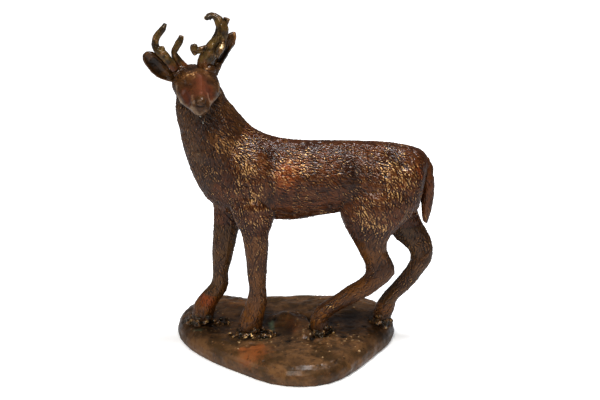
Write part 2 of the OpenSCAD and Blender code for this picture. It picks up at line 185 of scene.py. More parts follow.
class Patina:
    """A bench for brewing one patina out of nodes."""

    def __init__(self, name):
        self.material = bpy.data.materials.new(name)
        self.material.use_nodes = True
        self.nodes = self.material.node_tree.nodes
        self.links = self.material.node_tree.links
        self.metal = self.nodes["Principled BSDF"]
        self.place = self.nodes.new("ShaderNodeTexCoord").outputs["Object"]

    def feed(self, socket, value):
        """Links a socket, or sets it to a number or a colour code."""
        if isinstance(value, bpy.types.NodeSocket):
            self.links.new(value, socket)
        elif isinstance(value, str):
            socket.default_value = tint(value)
        else:
            socket.default_value = value

    def layer(self, name):
        """A value that the piece keeps for each of its points."""
        node = self.nodes.new("ShaderNodeAttribute")
        node.attribute_name = name
        return node.outputs["Fac"]

    def mottle(self, size, detail=4.0, rough=0.55, twist=0.0):
        """Cloudy unevenness of about this size."""
        node = self.nodes.new("ShaderNodeTexNoise")
        self.feed(node.inputs["Vector"], self.place)
        node.inputs["Scale"].default_value = 1 / size
        node.inputs["Detail"].default_value = detail
        node.inputs["Roughness"].default_value = rough
        node.inputs["Distortion"].default_value = twist
        return node.outputs["Fac"]

    def sum(self, how, one, other):
        """Two values added, subtracted or multiplied."""
        node = self.nodes.new("ShaderNodeMath")
        node.operation = how
        self.feed(node.inputs[0], one)
        self.feed(node.inputs[1], other)
        return node.outputs[0]

    def more(self, value, extra, share, rest=0.0):
        """A value with a share of another added, counted from the other's rest."""
        if rest:
            extra = self.sum("SUBTRACT", extra, rest)
        return self.sum("ADD", value, self.sum("MULTIPLY", extra, share))

    def between(self, value, low, high, out_low=0.0, out_high=1.0):
        """Eases from one output to the other while the value goes from low to high."""
        node = self.nodes.new("ShaderNodeMapRange")
        node.interpolation_type = "SMOOTHSTEP"
        self.feed(node.inputs["Value"], value)
        limits = {"From Min": low, "From Max": high, "To Min": out_low, "To Max": out_high}
        for socket, number in limits.items():
            self.feed(node.inputs[socket], number)
        return node.outputs["Result"]

    def wash(self, share, under, over):
        """A share of one colour laid over another."""
        node = self.nodes.new("ShaderNodeMix")
        node.data_type = "RGBA"
        sockets = [s for s in node.inputs if s.type == "RGBA"]
        self.feed(node.inputs["Factor"], share)
        self.feed(sockets[0], under)
        self.feed(sockets[1], over)
        return [s for s in node.outputs if s.type == "RGBA"][0]

    def pitted(self, height, depth, strength=1.0, under=None):
        """Fine relief that only catches the light."""
        node = self.nodes.new("ShaderNodeBump")
        node.inputs["Strength"].default_value = strength
        node.inputs["Distance"].default_value = depth
        self.feed(node.inputs["Height"], height)
        if under is not None:
            self.feed(node.inputs["Normal"], under)
        return node.outputs["Normal"]


def tint(code):
    """A colour from its six-figure code, in linear light."""
    parts = [int(code[k:k + 2], 16) / 255 for k in (0, 2, 4)]
    return [p / 12.92 if p < 0.04045 else ((p + 0.055) / 1.055) ** 2.4 for p in parts] + [1.0]


def pairs_within(points, centres, reach):
    """Pairs of centre and point that may lie within the reach of each other, one batch at a time."""
    low = np.minimum(points.min(axis=0), centres.min(axis=0)) - 2 * reach
    row = 4096    # more cells than any side of the piece has
    point_cells = np.floor((points - low) / reach).astype(np.int64)
    keys = (point_cells[:, 0] * row + point_cells[:, 1]) * row + point_cells[:, 2]
    order = np.argsort(keys, kind="stable")
    keys = keys[order]
    centre_cells = np.floor((centres - low) / reach).astype(np.int64)
    for step in np.ndindex(3, 3, 3):
        cells = centre_cells + np.array(step) - 1
        wanted = (cells[:, 0] * row + cells[:, 1]) * row + cells[:, 2]
        first = np.searchsorted(keys, wanted, "left")
        number = np.searchsorted(keys, wanted, "right") - first
        if number.sum() == 0:
            continue
        starts = np.repeat(first - np.concatenate([[0], np.cumsum(number)[:-1]]), number)
        yield np.repeat(np.arange(len(centres)), number), order[starts + np.arange(number.sum())]


def beads(skin, centres, radii, heights):
    """Small round pimples, or pits where the height is below nothing."""
    rise = np.zeros(skin.count)
    for which, point in pairs_within(skin.points, centres, 2.2 * radii.max()):
        gap = ((skin.points[point] - centres[which]) ** 2).sum(axis=1) / radii[which] ** 2
        rise += np.bincount(point, heights[which] * np.exp(-gap), skin.count)
    return rise


def brew(name, groove, body, warm, copper="6e3a20", gold="a07c52", dust="74614c", shine=0.5,
         rough=(0.36, 0.58), fleck=0.5, groove_share=0.75, mottle_size=14 * MM, wax=0.26,
         wax_gloss=0.17):
    """Patina over cast bronze: dark in the grooves, rubbed through to the metal on the crests."""
    bench = Patina(name)
    relief = bench.layer("relief")
    broad = bench.mottle(mottle_size, 4, 0.6, 0.3)
    close = bench.mottle(3.2 * MM, 5, 0.65, 0.4)
    fine = bench.mottle(0.75 * MM, 3, 0.6)
    colour = bench.wash(bench.between(broad, 0.40, 0.60), body, warm)
    colour = bench.wash(bench.layer("blush"), colour, "642c1a")
    colour = bench.wash(bench.between(close, 0.46, 0.70, 0.0, 0.75), colour, groove)
    ruddy = bench.more(bench.more(bench.more(bench.layer("copper"), close, 0.9), relief, 0.5), fine, 0.9)
    colour = bench.wash(bench.between(ruddy, 1.45, 2.35, 0.0, 0.9), colour, copper)
    colour = bench.wash(bench.between(relief, 0.50, 0.15, 0.0, groove_share), colour, groove)
    colour = bench.wash(bench.sum("MULTIPLY", bench.layer("hollow"), 0.8), colour, groove)
    # Pale grey for dust and wax, and on some rims a painted rim highlight.
    dusty = bench.between(bench.more(bench.layer("dust"), close, 0.7), 0.62, 1.15)
    colour = bench.wash(dusty, colour, dust)
    green = bench.between(bench.more(bench.layer("green"), close, 0.9), 0.85, 1.40)
    colour = bench.wash(green, colour, "55604a")
    wear = bench.more(bench.more(0.45, relief, 1.8, rest=0.5), fine, 1.2, rest=0.5)
    wear = bench.more(bench.more(wear, close, 2.6, rest=0.5), bench.layer("gold"), fleck)
    wear = bench.more(wear, bench.layer("crest"), 0.25)
    colour = bench.wash(bench.between(wear, 0.62, 1.10, 0.0, 0.60), colour, "6c4526")
    rubbed = bench.between(wear, 1.10, 1.50)
    colour = bench.wash(rubbed, colour, gold)
    # Soot goes near black, and so do painted shade in creases, hollows and sockets and a painted shadow
    # beside the rock.
    colour = bench.wash(bench.layer("soot"), colour, "0d0906")
    bench.feed(bench.metal.inputs["Base Color"], colour)
    bench.feed(bench.metal.inputs["Metallic"], bench.between(
        bench.more(rubbed, dusty, -0.8), -0.5, 1.0, 0.1, shine))
    worn = bench.more(bench.between(close, 0.3, 0.7, *rough), rubbed, -0.06)
    bench.feed(bench.metal.inputs["Roughness"], bench.more(worn, dusty, 0.15))
    bench.metal.inputs["Specular IOR Level"].default_value = 0.05
    bench.metal.inputs["Coat Weight"].default_value = wax
    bench.metal.inputs["Coat Roughness"].default_value = wax_gloss
    bench.feed(bench.metal.inputs["Normal"], bench.pitted(
        fine, 0.12 * MM, 0.9, bench.pitted(close, 0.25 * MM, 0.6)))
    return bench.material


def fit_out(piece, patina, slot, *nodes):
    """Gives a finished piece its patina and smooth shading, hides the nodes that it stands for, and hangs
    it under the root.
    """
    piece.data.materials.clear()
    piece.data.materials.append(patina)
    piece.data.polygons.foreach_set("use_smooth", np.ones(len(piece.data.polygons), bool))
    piece.data.update()
    if nodes:
        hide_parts(*nodes)
    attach(piece, "root")


GROUND_GRAIN = 0.7 * MM
ground_casting = gathered("ground_casting", ["base_shell"])
recast(ground_casting, GROUND_GRAIN)
skin = Skin(ground_casting)
foot = skin.points[:, 2] < 0.3 * MM
skin.settle(5)


def on_ground(*places):
    """Spots on the ground's top, from shares of the casting's box."""
    return [spot("base_shell", across, along, 0.80) for across, along in places]


ROCK_BACK = on_ground((0.48, 0.62), (0.54, 0.625), (0.585, 0.57), (0.605, 0.47), (0.615, 0.37))
ROCK_FALL = on_ground((0.56, 0.67), (0.615, 0.60), (0.64, 0.48), (0.645, 0.36))
GROUND_SHAPES = [
    (on_ground((0.50, 0.57), (0.55, 0.55), (0.57, 0.45), (0.575, 0.38)), 5.5, 3.0),
    (ROCK_BACK, 1.8, 1.9),
    (ROCK_FALL, 2.4, -3.8),
    (on_ground((0.43, 0.52), (0.45, 0.42), (0.50, 0.33)), 3.0, -0.8),
    (on_ground((0.585, 0.345), (0.66, 0.32), (0.73, 0.34), (0.79, 0.37)), 2.0, 1.0),
    (on_ground((0.62, 0.29), (0.70, 0.26), (0.80, 0.30)), 3.4, -0.6),
    (on_ground((0.21, 0.55), (0.28, 0.45)), 9, -0.7),
    (on_ground((0.26, 0.74), (0.40, 0.80)), 10, -0.5),
    (on_ground((0.12, 0.40), (0.22, 0.30), (0.30, 0.24)), 5, 0.5),
    (on_ground((0.30, 0.30), (0.40, 0.29)), 2.2, 0.9),
    ([spot("base_shell", 0.78, 0.13, 0.35)], 1.9, 1.3),
]
for path, reach, height in GROUND_SHAPES:
    skin.press(path, reach * MM, height * MM)
skin.work_in()
level = np.clip((skin.points[:, 2] - 9 * MM) / (5 * MM), 0, 1) * (skin.normals()[:, 2] > 0.2)
skin.press(on_ground((0.885, 0.46), (0.905, 0.36), (0.90, 0.28)), 1.6 * MM, -1.3 * MM)
skin.press(on_ground((0.865, 0.44), (0.885, 0.34)), 2.4 * MM, 0.7 * MM)
skin.rise += level * 0.75 * MM * lumps(skin.points, 11 * MM, 1)
skin.rise += level * 0.42 * MM * lumps(skin.points, 3.6 * MM, 2)
across, along, up = skin.points.T
brushed = np.stack([0.18 * (across + along), across - along, 0.3 * up], axis=1)
skin.rise += level * np.clip(across / (20 * MM), 0.2, 1) * 0.09 * MM * lumps(brushed, 1.3 * MM, 6)
low_edge = np.clip(1 - np.abs(up - 6 * MM) / (6 * MM), 0, 1)
edge_lumps = 0.5 * MM * lumps(skin.points, 7 * MM, 7) + 0.25 * MM * lumps(skin.points, 2.6 * MM, 8)
skin.rise += low_edge * edge_lumps
trodden = sum(skin.near([spot(hoof, 0.5, 0.5, 0.0)], 17 * MM) for hoof in (
    "left_fore_hoof", "right_fore_hoof", "left_hind_hoof"))
trodden = level * np.clip(trodden + skin.near(on_ground((0.60, 0.30), (0.80, 0.36)), 12 * MM), 0, 1)
PITS = on_ground((0.455, 0.56), (0.515, 0.315), (0.575, 0.36), (0.76, 0.365), (0.86, 0.50), (0.69, 0.37),
                 (0.16, 0.34), (0.62, 0.33), (0.33, 0.42), (0.47, 0.40))
GRAVEL_GRAINS = 900
PORES = 260
draw = np.random.default_rng(11)
top_points = np.flatnonzero(level > 0.5)
seeds = top_points[draw.integers(0, len(top_points), GRAVEL_GRAINS)]
kept = seeds[draw.random(GRAVEL_GRAINS) < 0.10 + 0.75 * trodden[seeds]]
gravel = beads(skin, skin.points[kept], draw.uniform(0.35, 0.85, len(kept)) * MM,
               draw.uniform(0.2, 0.7, len(kept)) * MM)
pits = beads(skin, np.array(PITS), np.full(len(PITS), 1.5 * MM), np.full(len(PITS), -1.7 * MM))
pore_points = top_points[draw.integers(0, len(top_points), PORES)]
pores = beads(skin, skin.points[pore_points], draw.uniform(0.4, 0.7, PORES) * MM,
              draw.uniform(-0.5, -0.2, PORES) * MM)
rough = trodden * 0.22 * MM * lumps(skin.points, 1.5 * MM, 3)
fine_rise = gravel + pits + pores + rough
skin.rise += fine_rise
skin.work_in()
skin.points[:, 2] = np.where(foot, 0, np.maximum(skin.points[:, 2], 0))
skin.write()
skin.keep("relief", np.clip(0.45 + fine_rise / (0.9 * MM), 0, 1))
skin.keep_swell(40, 0.0, 0.45 * MM)
skin.keep("gold", np.clip(0.35 * trodden + gravel / (0.8 * MM), 0, 1))
# Near black beside the rock's fall is a painted shadow; the rest is dark mottling, flux round the hooves
# and dark patina in the pits.
soot = 0.9 * skin.near(ROCK_FALL[1:], 4.5 * MM) + 0.45 * np.clip(lumps(skin.points, 12 * MM, 9), 0, 1)
flux = sum(skin.near([spot(hoof, 0.5, 0.1, 0.0)], 13 * MM) for hoof in (
    "left_fore_hoof", "right_fore_hoof", "right_hind_hoof"))
soot += 1.1 * flux * np.clip(0.7 + 0.6 * lumps(skin.points, 3 * MM, 10), 0, 1)
skin.keep("soot", np.clip(soot + np.clip(-pits / (1.2 * MM) - 0.2, 0, 1), 0, 0.95))
skin.keep("copper", np.clip(
    0.75 * skin.near(on_ground((0.33, 0.14), (0.38, 0.20)), 11 * MM) + 0.2
    + 0.8 * skin.near(on_ground((0.31, 0.225), (0.40, 0.25)), 2 * MM)
    + 0.45 * skin.near(on_ground((0.52, 0.55), (0.55, 0.42)), 7 * MM)
    + 0.9 * skin.near(ROCK_BACK[1:], 1.3 * MM)
    + 0.35 * skin.near(on_ground((0.26, 0.80), (0.34, 0.78)), 13 * MM), 0, 1))
skin.keep("green", np.clip(
    0.9 * skin.near(on_ground((0.44, 0.46), (0.435, 0.54)), 3.4 * MM)
    + 0.9 * skin.near(on_ground((0.08, 0.47), (0.12, 0.47)), 3.4 * MM)
    + 0.7 * skin.near(on_ground((0.03, 0.60), (0.10, 0.58)), 7 * MM)
    + 0.6 * skin.near(on_ground((0.40, 0.33), (0.45, 0.40), (0.30, 0.36)), 5 * MM), 0, 1))
GROUND_PATINA = brew("ground_patina", groove="20150b", body="3e2a14", warm="664628", copper="84461f",
                     gold="a88a60", rough=(0.36, 0.55), mottle_size=15 * MM, wax=0.2, wax_gloss=0.30)
fit_out(ground_casting, GROUND_PATINA, "ground_bronze", "base_shell")

# The whole wax ------------------------------------------------------------------------------------
# The stag is modelled whole in wax: first the muscles, then the hair, scratched in with a loop tool.
# It is cut up for casting afterwards, as a small foundry can only fill and core it in parts.

WAX_GRAIN = 0.45 * MM
CASTINGS = ["torso_shell", "neck_shell", "head_casting"]
LEGS = ["left_foreleg", "right_foreleg", "left_hind_leg", "right_hind_leg"]
HOOVES = ["left_fore_hoof", "right_fore_hoof", "left_hind_hoof", "right_hind_hoof"]
FILLERS = ["sleeve_pins", "core_plugs", "leg_dowels"]

wax = gathered("stag_wax", CASTINGS + LEGS + HOOVES + FILLERS)
# The skull flows up into the antlers and out to the right ear
daub(wax, [(spot("left_antler", 0.37, 0.33, 0.07), (4.6 * MM, 4.4 * MM, 3.6 * MM)),
           (spot("right_brow_tine", 0.66, 0.25, 0.02), (3.8 * MM, 3.6 * MM, 3.4 * MM)),
           (spot("right_antler", 0.88, 0.66, -0.03), (2.7 * MM, 2.7 * MM, 2.4 * MM))])
recast(wax, WAX_GRAIN)
skin = Skin(wax)
skin.settle(12)


def on_body(node, *places):
    """A path of spots on one node."""
    return [spot(node, *place) for place in places]


def mirrored(path):
    """The same spots on the stag's other side."""
    return [place * np.array([1, -1, 1]) for place in path]


def on_trunk(*places):
    return on_body("torso_shell", *places)


def on_neck(*places):
    return on_body("neck_shell", *places)


def on_head(*places):
    return on_body("head_casting", *places)


SHOULDER_VALLEY = on_trunk((0.31, 0.16, 0.76), (0.295, 0.08, 0.58), (0.29, 0.06, 0.36))
SHOULDER_BLADE = on_trunk((0.27, 0.16, 0.86), (0.20, 0.12, 0.66), (0.16, 0.12, 0.42))
RIB_BARREL = on_trunk((0.38, 0.08, 0.60), (0.52, 0.08, 0.56))
LOIN = on_trunk((0.42, 0.22, 0.79), (0.66, 0.22, 0.78))
LOIN_FALL = on_trunk((0.45, 0.12, 0.68), (0.64, 0.12, 0.66))
FLANK = on_trunk((0.68, 0.12, 0.64), (0.665, 0.10, 0.50), (0.645, 0.10, 0.30))
HIP_BONE = on_trunk((0.765, 0.20, 0.79))
HIP_HOLLOW = on_trunk((0.84, 0.20, 0.76), (0.885, 0.14, 0.66))
THIGH = on_trunk((0.84, 0.06, 0.48), (0.80, 0.04, 0.24))
THIGH_BACK = on_trunk((0.955, 0.16, 0.52), (0.93, 0.10, 0.30))
ELBOW = on_trunk((0.24, 0.06, 0.30))
ELBOW_CREASE = on_trunk((0.30, 0.10, 0.24), (0.33, 0.14, 0.15))
CHEST_CREASE = on_trunk((0.13, 0.30, 0.30), (0.10, 0.34, 0.16))

NECK_STRAP = on_neck((0.80, 0.30, 0.92), (0.66, 0.10, 0.66), (0.56, 0.06, 0.36))
NECK_FALL = on_neck((0.48, 0.10, 0.90), (0.34, 0.10, 0.60), (0.30, 0.14, 0.36))
MUSCLES = [
    (SHOULDER_VALLEY, 3.6, -1.2), (SHOULDER_BLADE, 8.0, 0.9), (RIB_BARREL, 13, 0.7), (LOIN, 4.5, 0.7),
    (LOIN_FALL, 3.6, -0.5), (FLANK, 4.6, -1.5), (HIP_BONE, 5.5, 1.2), (HIP_HOLLOW, 4.4, -1.7),
    (THIGH, 11, 0.7), (THIGH_BACK, 4.0, 0.6), (ELBOW, 5.0, 0.9), (ELBOW_CREASE, 2.8, -1.0),
    (CHEST_CREASE, 3.0, -0.8), (NECK_STRAP, 5.0, 0.6), (NECK_FALL, 4.0, -0.6),
]
for path, reach, height in MUSCLES:
    skin.press(path, reach * MM, height * MM)
    skin.press(mirrored(path), reach * MM, height * MM)
skin.press(on_trunk((0.985, 0.5, 0.68)), 8.0 * MM, 1.6 * MM)
for leg in LEGS:
    if "fore" in leg:
        skin.press(on_body(leg, (0.34, 0.5, 0.40), (0.38, 0.5, 0.56)), 4.0 * MM, 0.5 * MM)
        for side in (0.1, 0.9):
            skin.press(on_body(leg, (0.78, side, 0.20), (0.82, side, 0.85)), 1.6 * MM, -0.45 * MM)
    else:
        for side in (0.15, 0.85):
            skin.press(on_body(leg, (0.84, side, 0.66), (0.70, side, 0.86)), 1.8 * MM, -0.6 * MM)
            skin.press(on_body(leg, (0.80, side, 0.52)), 3.0 * MM, 0.5 * MM)
skin.work_in()

# The head: brows, cheeks drawn in under them, folds down to the jaw, and a round nose
CENTRE_RIDGE = on_head((0.52, 0.55, 0.97), (0.56, 0.38, 0.86), (0.61, 0.18, 0.75))
BROWS = [on_head((0.34, 0.46, 0.92), (0.44, 0.45, 0.94)),
         on_head((0.66, 0.56, 0.96), (0.78, 0.60, 0.90))]
SOCKETS = [on_head((0.28, 0.36, 0.80), (0.38, 0.30, 0.79)),
           on_head((0.74, 0.40, 0.83), (0.82, 0.44, 0.80))]
CHEEKS = [on_head((0.28, 0.27, 0.70), (0.36, 0.16, 0.63)),
          on_head((0.78, 0.30, 0.74), (0.80, 0.20, 0.65))]
FOLDS = [on_head((0.44, 0.13, 0.70), (0.47, 0.05, 0.62), (0.52, 0.08, 0.48)),
         on_head((0.72, 0.21, 0.71), (0.75, 0.11, 0.60)),
         on_head((0.12, 0.46, 0.78), (0.16, 0.42, 0.64), (0.22, 0.36, 0.56)),
         on_head((0.88, 0.52, 0.78), (0.89, 0.46, 0.66))]
JAW_RIM = on_head((0.16, 0.50, 0.50), (0.26, 0.32, 0.53), (0.34, 0.19, 0.53), (0.44, 0.06, 0.54),
                  (0.56, 0.09, 0.43), (0.69, 0.06, 0.50), (0.76, 0.13, 0.58), (0.84, 0.40, 0.58),
                  (0.91, 0.62, 0.60))
UNDER_JAW = on_head((0.20, 0.50, 0.42), (0.32, 0.28, 0.44), (0.42, 0.16, 0.44))
UNDER_JAW_FAR = on_head((0.72, 0.16, 0.46), (0.80, 0.34, 0.50), (0.88, 0.55, 0.52))
NOSE = spot("head_casting", 0.607, 0.02, 0.655)
FACE = [([CENTRE_RIDGE], 2.6, 0.8), (BROWS, 3.0, 0.9), (SOCKETS, 2.6, -1.2), (CHEEKS, 3.2, -1.3),
        (FOLDS, 1.0, 0.9), ([JAW_RIM], 1.2, 0.8), ([UNDER_JAW, UNDER_JAW_FAR], 2.0, -1.1),
        ([[NOSE]], 2.6, 0.5)]
for paths, reach, height in FACE:
    for path in paths:
        skin.press(path, reach * MM, height * MM)
from_nose = np.linalg.norm(skin.points - NOSE, axis=1)
below_nose = np.clip(0.5 - (skin.points[:, 2] - NOSE[2]) / (3 * MM), 0.15, 1)
skin.rise -= 0.9 * MM * below_nose * np.exp(-((from_nose - 3.9 * MM) / (0.8 * MM)) ** 2)
skin.work_in()
skin.press([spot("head_casting", 0.52, 0.50, 0.955)], 1.2 * MM, -0.7 * MM)
skin.press(on_head((0.56, 0.01, 0.62), (0.66, 0.01, 0.69)), 0.6 * MM, 0.5 * MM)
brow_grain = skin.near(BROWS[0], 3.4 * MM) + 0.6 * skin.near(BROWS[1], 3.0 * MM)
skin.rise += 0.28 * MM * brow_grain * lumps(skin.points, 1.1 * MM, 12)
skin.work_in()

# The hair, in short strokes that lie the way the coat grows
HAIR_LIES = [
    ("head_casting", (0.5, 0.9, 0.9), (0.2, 1, -0.4)), ("head_casting", (0.1, 0.6, 0.3), (0.1, 0.4, -1)),
    ("head_casting", (0.9, 0.6, 0.3), (0.3, 0.3, -1)), ("neck_shell", (0.2, 0.2, 0.7), (0.1, 0, -1)),
    ("neck_shell", (0.8, 0.2, 0.8), (0.9, 0, -0.7)), ("neck_shell", (0.4, 0.1, 0.3), (0.2, 0, -1)),
    ("torso_shell", (0.10, 0.2, 0.50), (0.2, 0, -1)), ("torso_shell", (0.25, 0.1, 0.80), (1, 0, -0.6)),
    ("torso_shell", (0.22, 0.1, 0.40), (0.3, 0, -1)), ("torso_shell", (0.45, 0.1, 0.85), (1, 0, -0.2)),
    ("torso_shell", (0.45, 0.1, 0.50), (1, 0, -0.5)), ("torso_shell", (0.45, 0.2, 0.20), (1, 0, -0.1)),
    ("torso_shell", (0.68, 0.1, 0.85), (1, 0, -0.3)), ("torso_shell", (0.72, 0.1, 0.50), (0.8, 0, -0.8)),
    ("torso_shell", (0.90, 0.1, 0.80), (0.8, 0, -0.8)), ("torso_shell", (0.88, 0.1, 0.40), (0.2, 0, -1)),
    ("left_hind_leg", (0.8, 0.1, 0.9), (-0.1, 0, -1)), ("left_hind_leg", (0.5, 0.1, 0.3), (-1, 0, -0.7)),
    ("left_foreleg", (0.5, 0.1, 0.5), (0, 0, -1)),
]
lie_places = np.array([spot(node, *place) for node, place, _ in HAIR_LIES])
lie_ways = np.array([way for _, _, way in HAIR_LIES], float)
lie_ways /= np.linalg.norm(lie_ways, axis=1)[:, None]


def strokes(skin, normals, starts, lengths, width, depths, stray, draw):
    """Short curved grooves with raised lips, pressed along the lie of the hair."""
    places, outward = skin.points[starts], normals[starts]
    flat = places * np.array([1, 0, 1])
    gaps = ((flat[:, None] - (lie_places * np.array([1, 0, 1]))[None]) ** 2).sum(axis=2)
    shares = 1 / (gaps + (6 * MM) ** 2) ** 2
    ways = (shares[:, :, None] * lie_ways[None]).sum(axis=1)
    ways -= outward * (ways * outward).sum(axis=1)[:, None]
    ways /= np.maximum(np.linalg.norm(ways, axis=1), 1e-9)[:, None]
    aside = np.cross(outward, ways)
    turn = draw.normal(0, stray, len(starts))[:, None]
    ways, aside = (ways * np.cos(turn) + aside * np.sin(turn),
                   aside * np.cos(turn) - ways * np.sin(turn))
    bend = draw.normal(0, 0.16, len(starts)) / MM
    rise = np.zeros(skin.count)
    for which, point in pairs_within(skin.points, places, 0.5 * lengths.max() + 1.5 * width):
        gap = skin.points[point] - places[which]
        along = (gap * ways[which]).sum(axis=1)
        across = (gap * aside[which]).sum(axis=1) - bend[which] * along ** 2
        off = (gap * outward[which]).sum(axis=1)
        reach = np.clip(1.2 - (along / (0.5 * lengths[which])) ** 2, 0, 1) * (np.abs(off) < 2.5 * MM)
        across = across / width
        groove = np.exp(-across ** 2) - 0.55 * np.exp(-((np.abs(across) - 1.55) / 0.6) ** 2)
        rise -= np.bincount(point, depths[which] * groove * reach, skin.count)
    return rise


HAIR_STROKES = 42000
draw = np.random.default_rng(5)
face_front = skin.near(CENTRE_RIDGE + CHEEKS[0] + CHEEKS[1], 11 * MM)
leg_top = spot("torso_shell", 0, 0, 0.10)[2]
on_legs = np.clip((leg_top - skin.points[:, 2]) / (34 * MM), 0, 1)
hairy = np.clip(1 - 1.6 * face_front, 0.10, 1) * (1 - 0.35 * on_legs)
starts = draw.integers(0, skin.count, HAIR_STROKES)
starts = starts[draw.random(len(starts)) < hairy[starts]]
normals = skin.normals()
long_starts, short_starts = starts[::2], starts[1::2]
hair_depth = (0.25 + 0.75 * hairy) * (1 + 0.5 * lumps(skin.points, 8 * MM, 14))
long_hair = strokes(skin, normals, long_starts, draw.uniform(2.6, 6.0, len(long_starts)) * MM, 0.42 * MM,
                    draw.uniform(0.05, 0.32, len(long_starts)) * MM * hair_depth[long_starts], 0.38, draw)
short_hair = strokes(skin, normals, short_starts, draw.uniform(1.2, 2.6, len(short_starts)) * MM, 0.34 * MM,
                     draw.uniform(0.04, 0.20, len(short_starts)) * MM * hair_depth[short_starts], 0.8, draw)
hair = np.clip(long_hair + short_hair, -0.50 * MM, 0.36 * MM)
knobs = 0.20 * MM * lumps(skin.points, 2.6 * MM, 4) + 0.3 * MM * lumps(skin.points, 7 * MM, 5)
skin.rise += hair + (0.35 + 0.65 * hairy) * knobs
skin.work_in()
skin.write()
brow_relief = 0.35 * brow_grain * lumps(skin.points, 1.1 * MM, 12)
skin.keep("relief", np.clip(0.5 + hair / (0.62 * MM) + brow_relief, 0, 1))
skin.keep_swell(36, 0.10 * MM, 0.55 * MM)

# Cutting up the wax --------------------------------------------------------------------------------
# The wax is sawn through on the flat faces that the castings share. The trunk, the neck and the head
# are cored, so each keeps the inner wall that its core leaves; the legs and the hooves stay solid.

SAW_CUTS = [("torso_shell", "neck_shell"), ("neck_shell", "head_casting")]
SAW_CUTS += [("torso_shell", leg) for leg in LEGS] + list(zip(LEGS, HOOVES))


def node_points(node):
    """The points of one of the frame's nodes."""
    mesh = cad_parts[node].data
    flat = np.empty(len(mesh.vertices) * 3, np.float32)
    mesh.vertices.foreach_get("co", flat)
    return flat.reshape(-1, 3).astype(float)


def shared_face(one, other):
    """Middle, normal and reach of the flat face between two castings."""
    first, second = node_points(one), node_points(other)
    gaps = ((first[:, None] - second[None]) ** 2).sum(axis=2).min(axis=1)
    edge = np.unique(first[gaps < (0.02 * MM) ** 2].round(7), axis=0)
    middle = (edge.min(axis=0) + edge.max(axis=0)) / 2
    square = np.linalg.svd(edge - edge.mean(axis=0))[2][2]
    return middle, square, np.linalg.norm(edge - middle, axis=1).max() + 3 * MM


def tree_of(*meshes):
    """A search tree over the meshes of some nodes or castings."""
    work = bmesh.new()
    for mesh in meshes:
        work.from_mesh(mesh)
    tree = BVHTree.FromBMesh(work)
    work.free()
    return tree


work = bmesh.new()
work.from_mesh(wax.data)
for one, other in SAW_CUTS:
    middle, square, reach = shared_face(one, other)
    work.verts.ensure_lookup_table()
    from_middle = skin.points - middle
    beside = (np.abs(from_middle @ square) < 1.5 * MM) & (np.linalg.norm(from_middle, axis=1) < reach)
    faces = {face for k in np.flatnonzero(beside) for face in work.verts[k].link_faces}
    edges = {edge for face in faces for edge in face.edges}
    verts = {vert for face in faces for vert in face.verts}
    cut = bmesh.ops.bisect_plane(work, geom=[*faces, *edges, *verts], dist=0.0005 * MM,
                                 plane_co=middle, plane_no=square)
    sawn = [part for part in cut["geom_cut"] if isinstance(part, bmesh.types.BMEdge)]
    bmesh.ops.split_edges(work, edges=sawn)
work.to_mesh(wax.data)
work.free()

bpy.ops.object.select_all(action="DESELECT")
bpy.context.view_layer.objects.active = wax
wax.select_set(True)
bpy.ops.mesh.separate(type="LOOSE")
cut_parts = sorted(bpy.context.selected_objects, key=lambda part: -len(part.data.vertices))
node_trees = {node: tree_of(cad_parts[node].data) for node in CASTINGS + LEGS + HOOVES}
castings = {}
for part in cut_parts:
    count = len(part.data.vertices)
    samples = [part.data.vertices[k].co for k in range(0, count, 1 + count // 60)]
    votes = [min(node_trees, key=lambda node: node_trees[node].find_nearest(place)[3]) for place in samples]
    castings.setdefault(max(set(votes), key=votes.count), part)
filler_tree = tree_of(*[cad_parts[node].data for node in FILLERS])
skin_tree = {node: tree_of(castings[node].data) for node in CASTINGS}


def core_wall(node):
    """The wall round a casting's core, without the bores of its pins and plugs."""
    wall = bmesh.new()
    wall.from_mesh(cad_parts[node].data)
    bmesh.ops.remove_doubles(wall, verts=wall.verts, dist=0.002 * MM)
    outside = {v for v in wall.verts if skin_tree[node].find_nearest(v.co)[3] < 2.0 * MM}
    on_filler = {v for v in wall.verts if filler_tree.find_nearest(v.co)[3] < 0.02 * MM}
    spare = [f for f in wall.faces if outside.intersection(f.verts) or on_filler.issuperset(f.verts)]
    bmesh.ops.delete(wall, geom=spare, context="FACES")
    return wall


def close_cuts(piece, node):
    """Closes a casting at its sawn faces, and leaves the core's space inside it."""
    work = bmesh.new()
    work.from_mesh(piece.data)
    if node in CASTINGS:
        wall = core_wall(node)
        layer = work.verts.layers.float.get("relief")
        copies = {}
        for face in wall.faces:
            for vert in face.verts:
                if vert not in copies:
                    copies[vert] = work.verts.new(vert.co)
                    copies[vert][layer] = 0.2
            work.faces.new([copies[vert] for vert in face.verts])
        wall.free()
    open_edges = [edge for edge in work.edges if len(edge.link_faces) == 1]
    for cut in SAW_CUTS:
        if node not in cut:
            continue
        middle, square, reach = shared_face(*cut)
        on_face = []
        for edge in open_edges:
            gaps = np.array([vert.co for vert in edge.verts]) - middle
            if np.abs(gaps @ square).max() < 0.01 * MM and np.linalg.norm(gaps, axis=1).max() < reach:
                on_face.append(edge)
        bmesh.ops.triangle_fill(work, edges=on_face, use_beauty=True, normal=square)
    left = [edge for edge in work.edges if len(edge.link_faces) == 1]
    bmesh.ops.holes_fill(work, edges=left, sides=60)
    bmesh.ops.recalc_face_normals(work, faces=work.faces)
    work.to_mesh(piece.data)
    work.free()


for node, piece in castings.items():
    close_cuts(piece, node)

# Braze under the hooves ----------------------------------------------------------------------------
# Rough lumps of brass braze run in round each sole, left as they froze, black with flux in the hollows
# and bright where a file has touched them.

BRAZE_GRAIN = 0.38 * MM
braze_lumps = gathered("braze_lumps", ["braze_pads"])
ground_tree = tree_of(ground_casting.data)
draw = np.random.default_rng(17)
drips = []
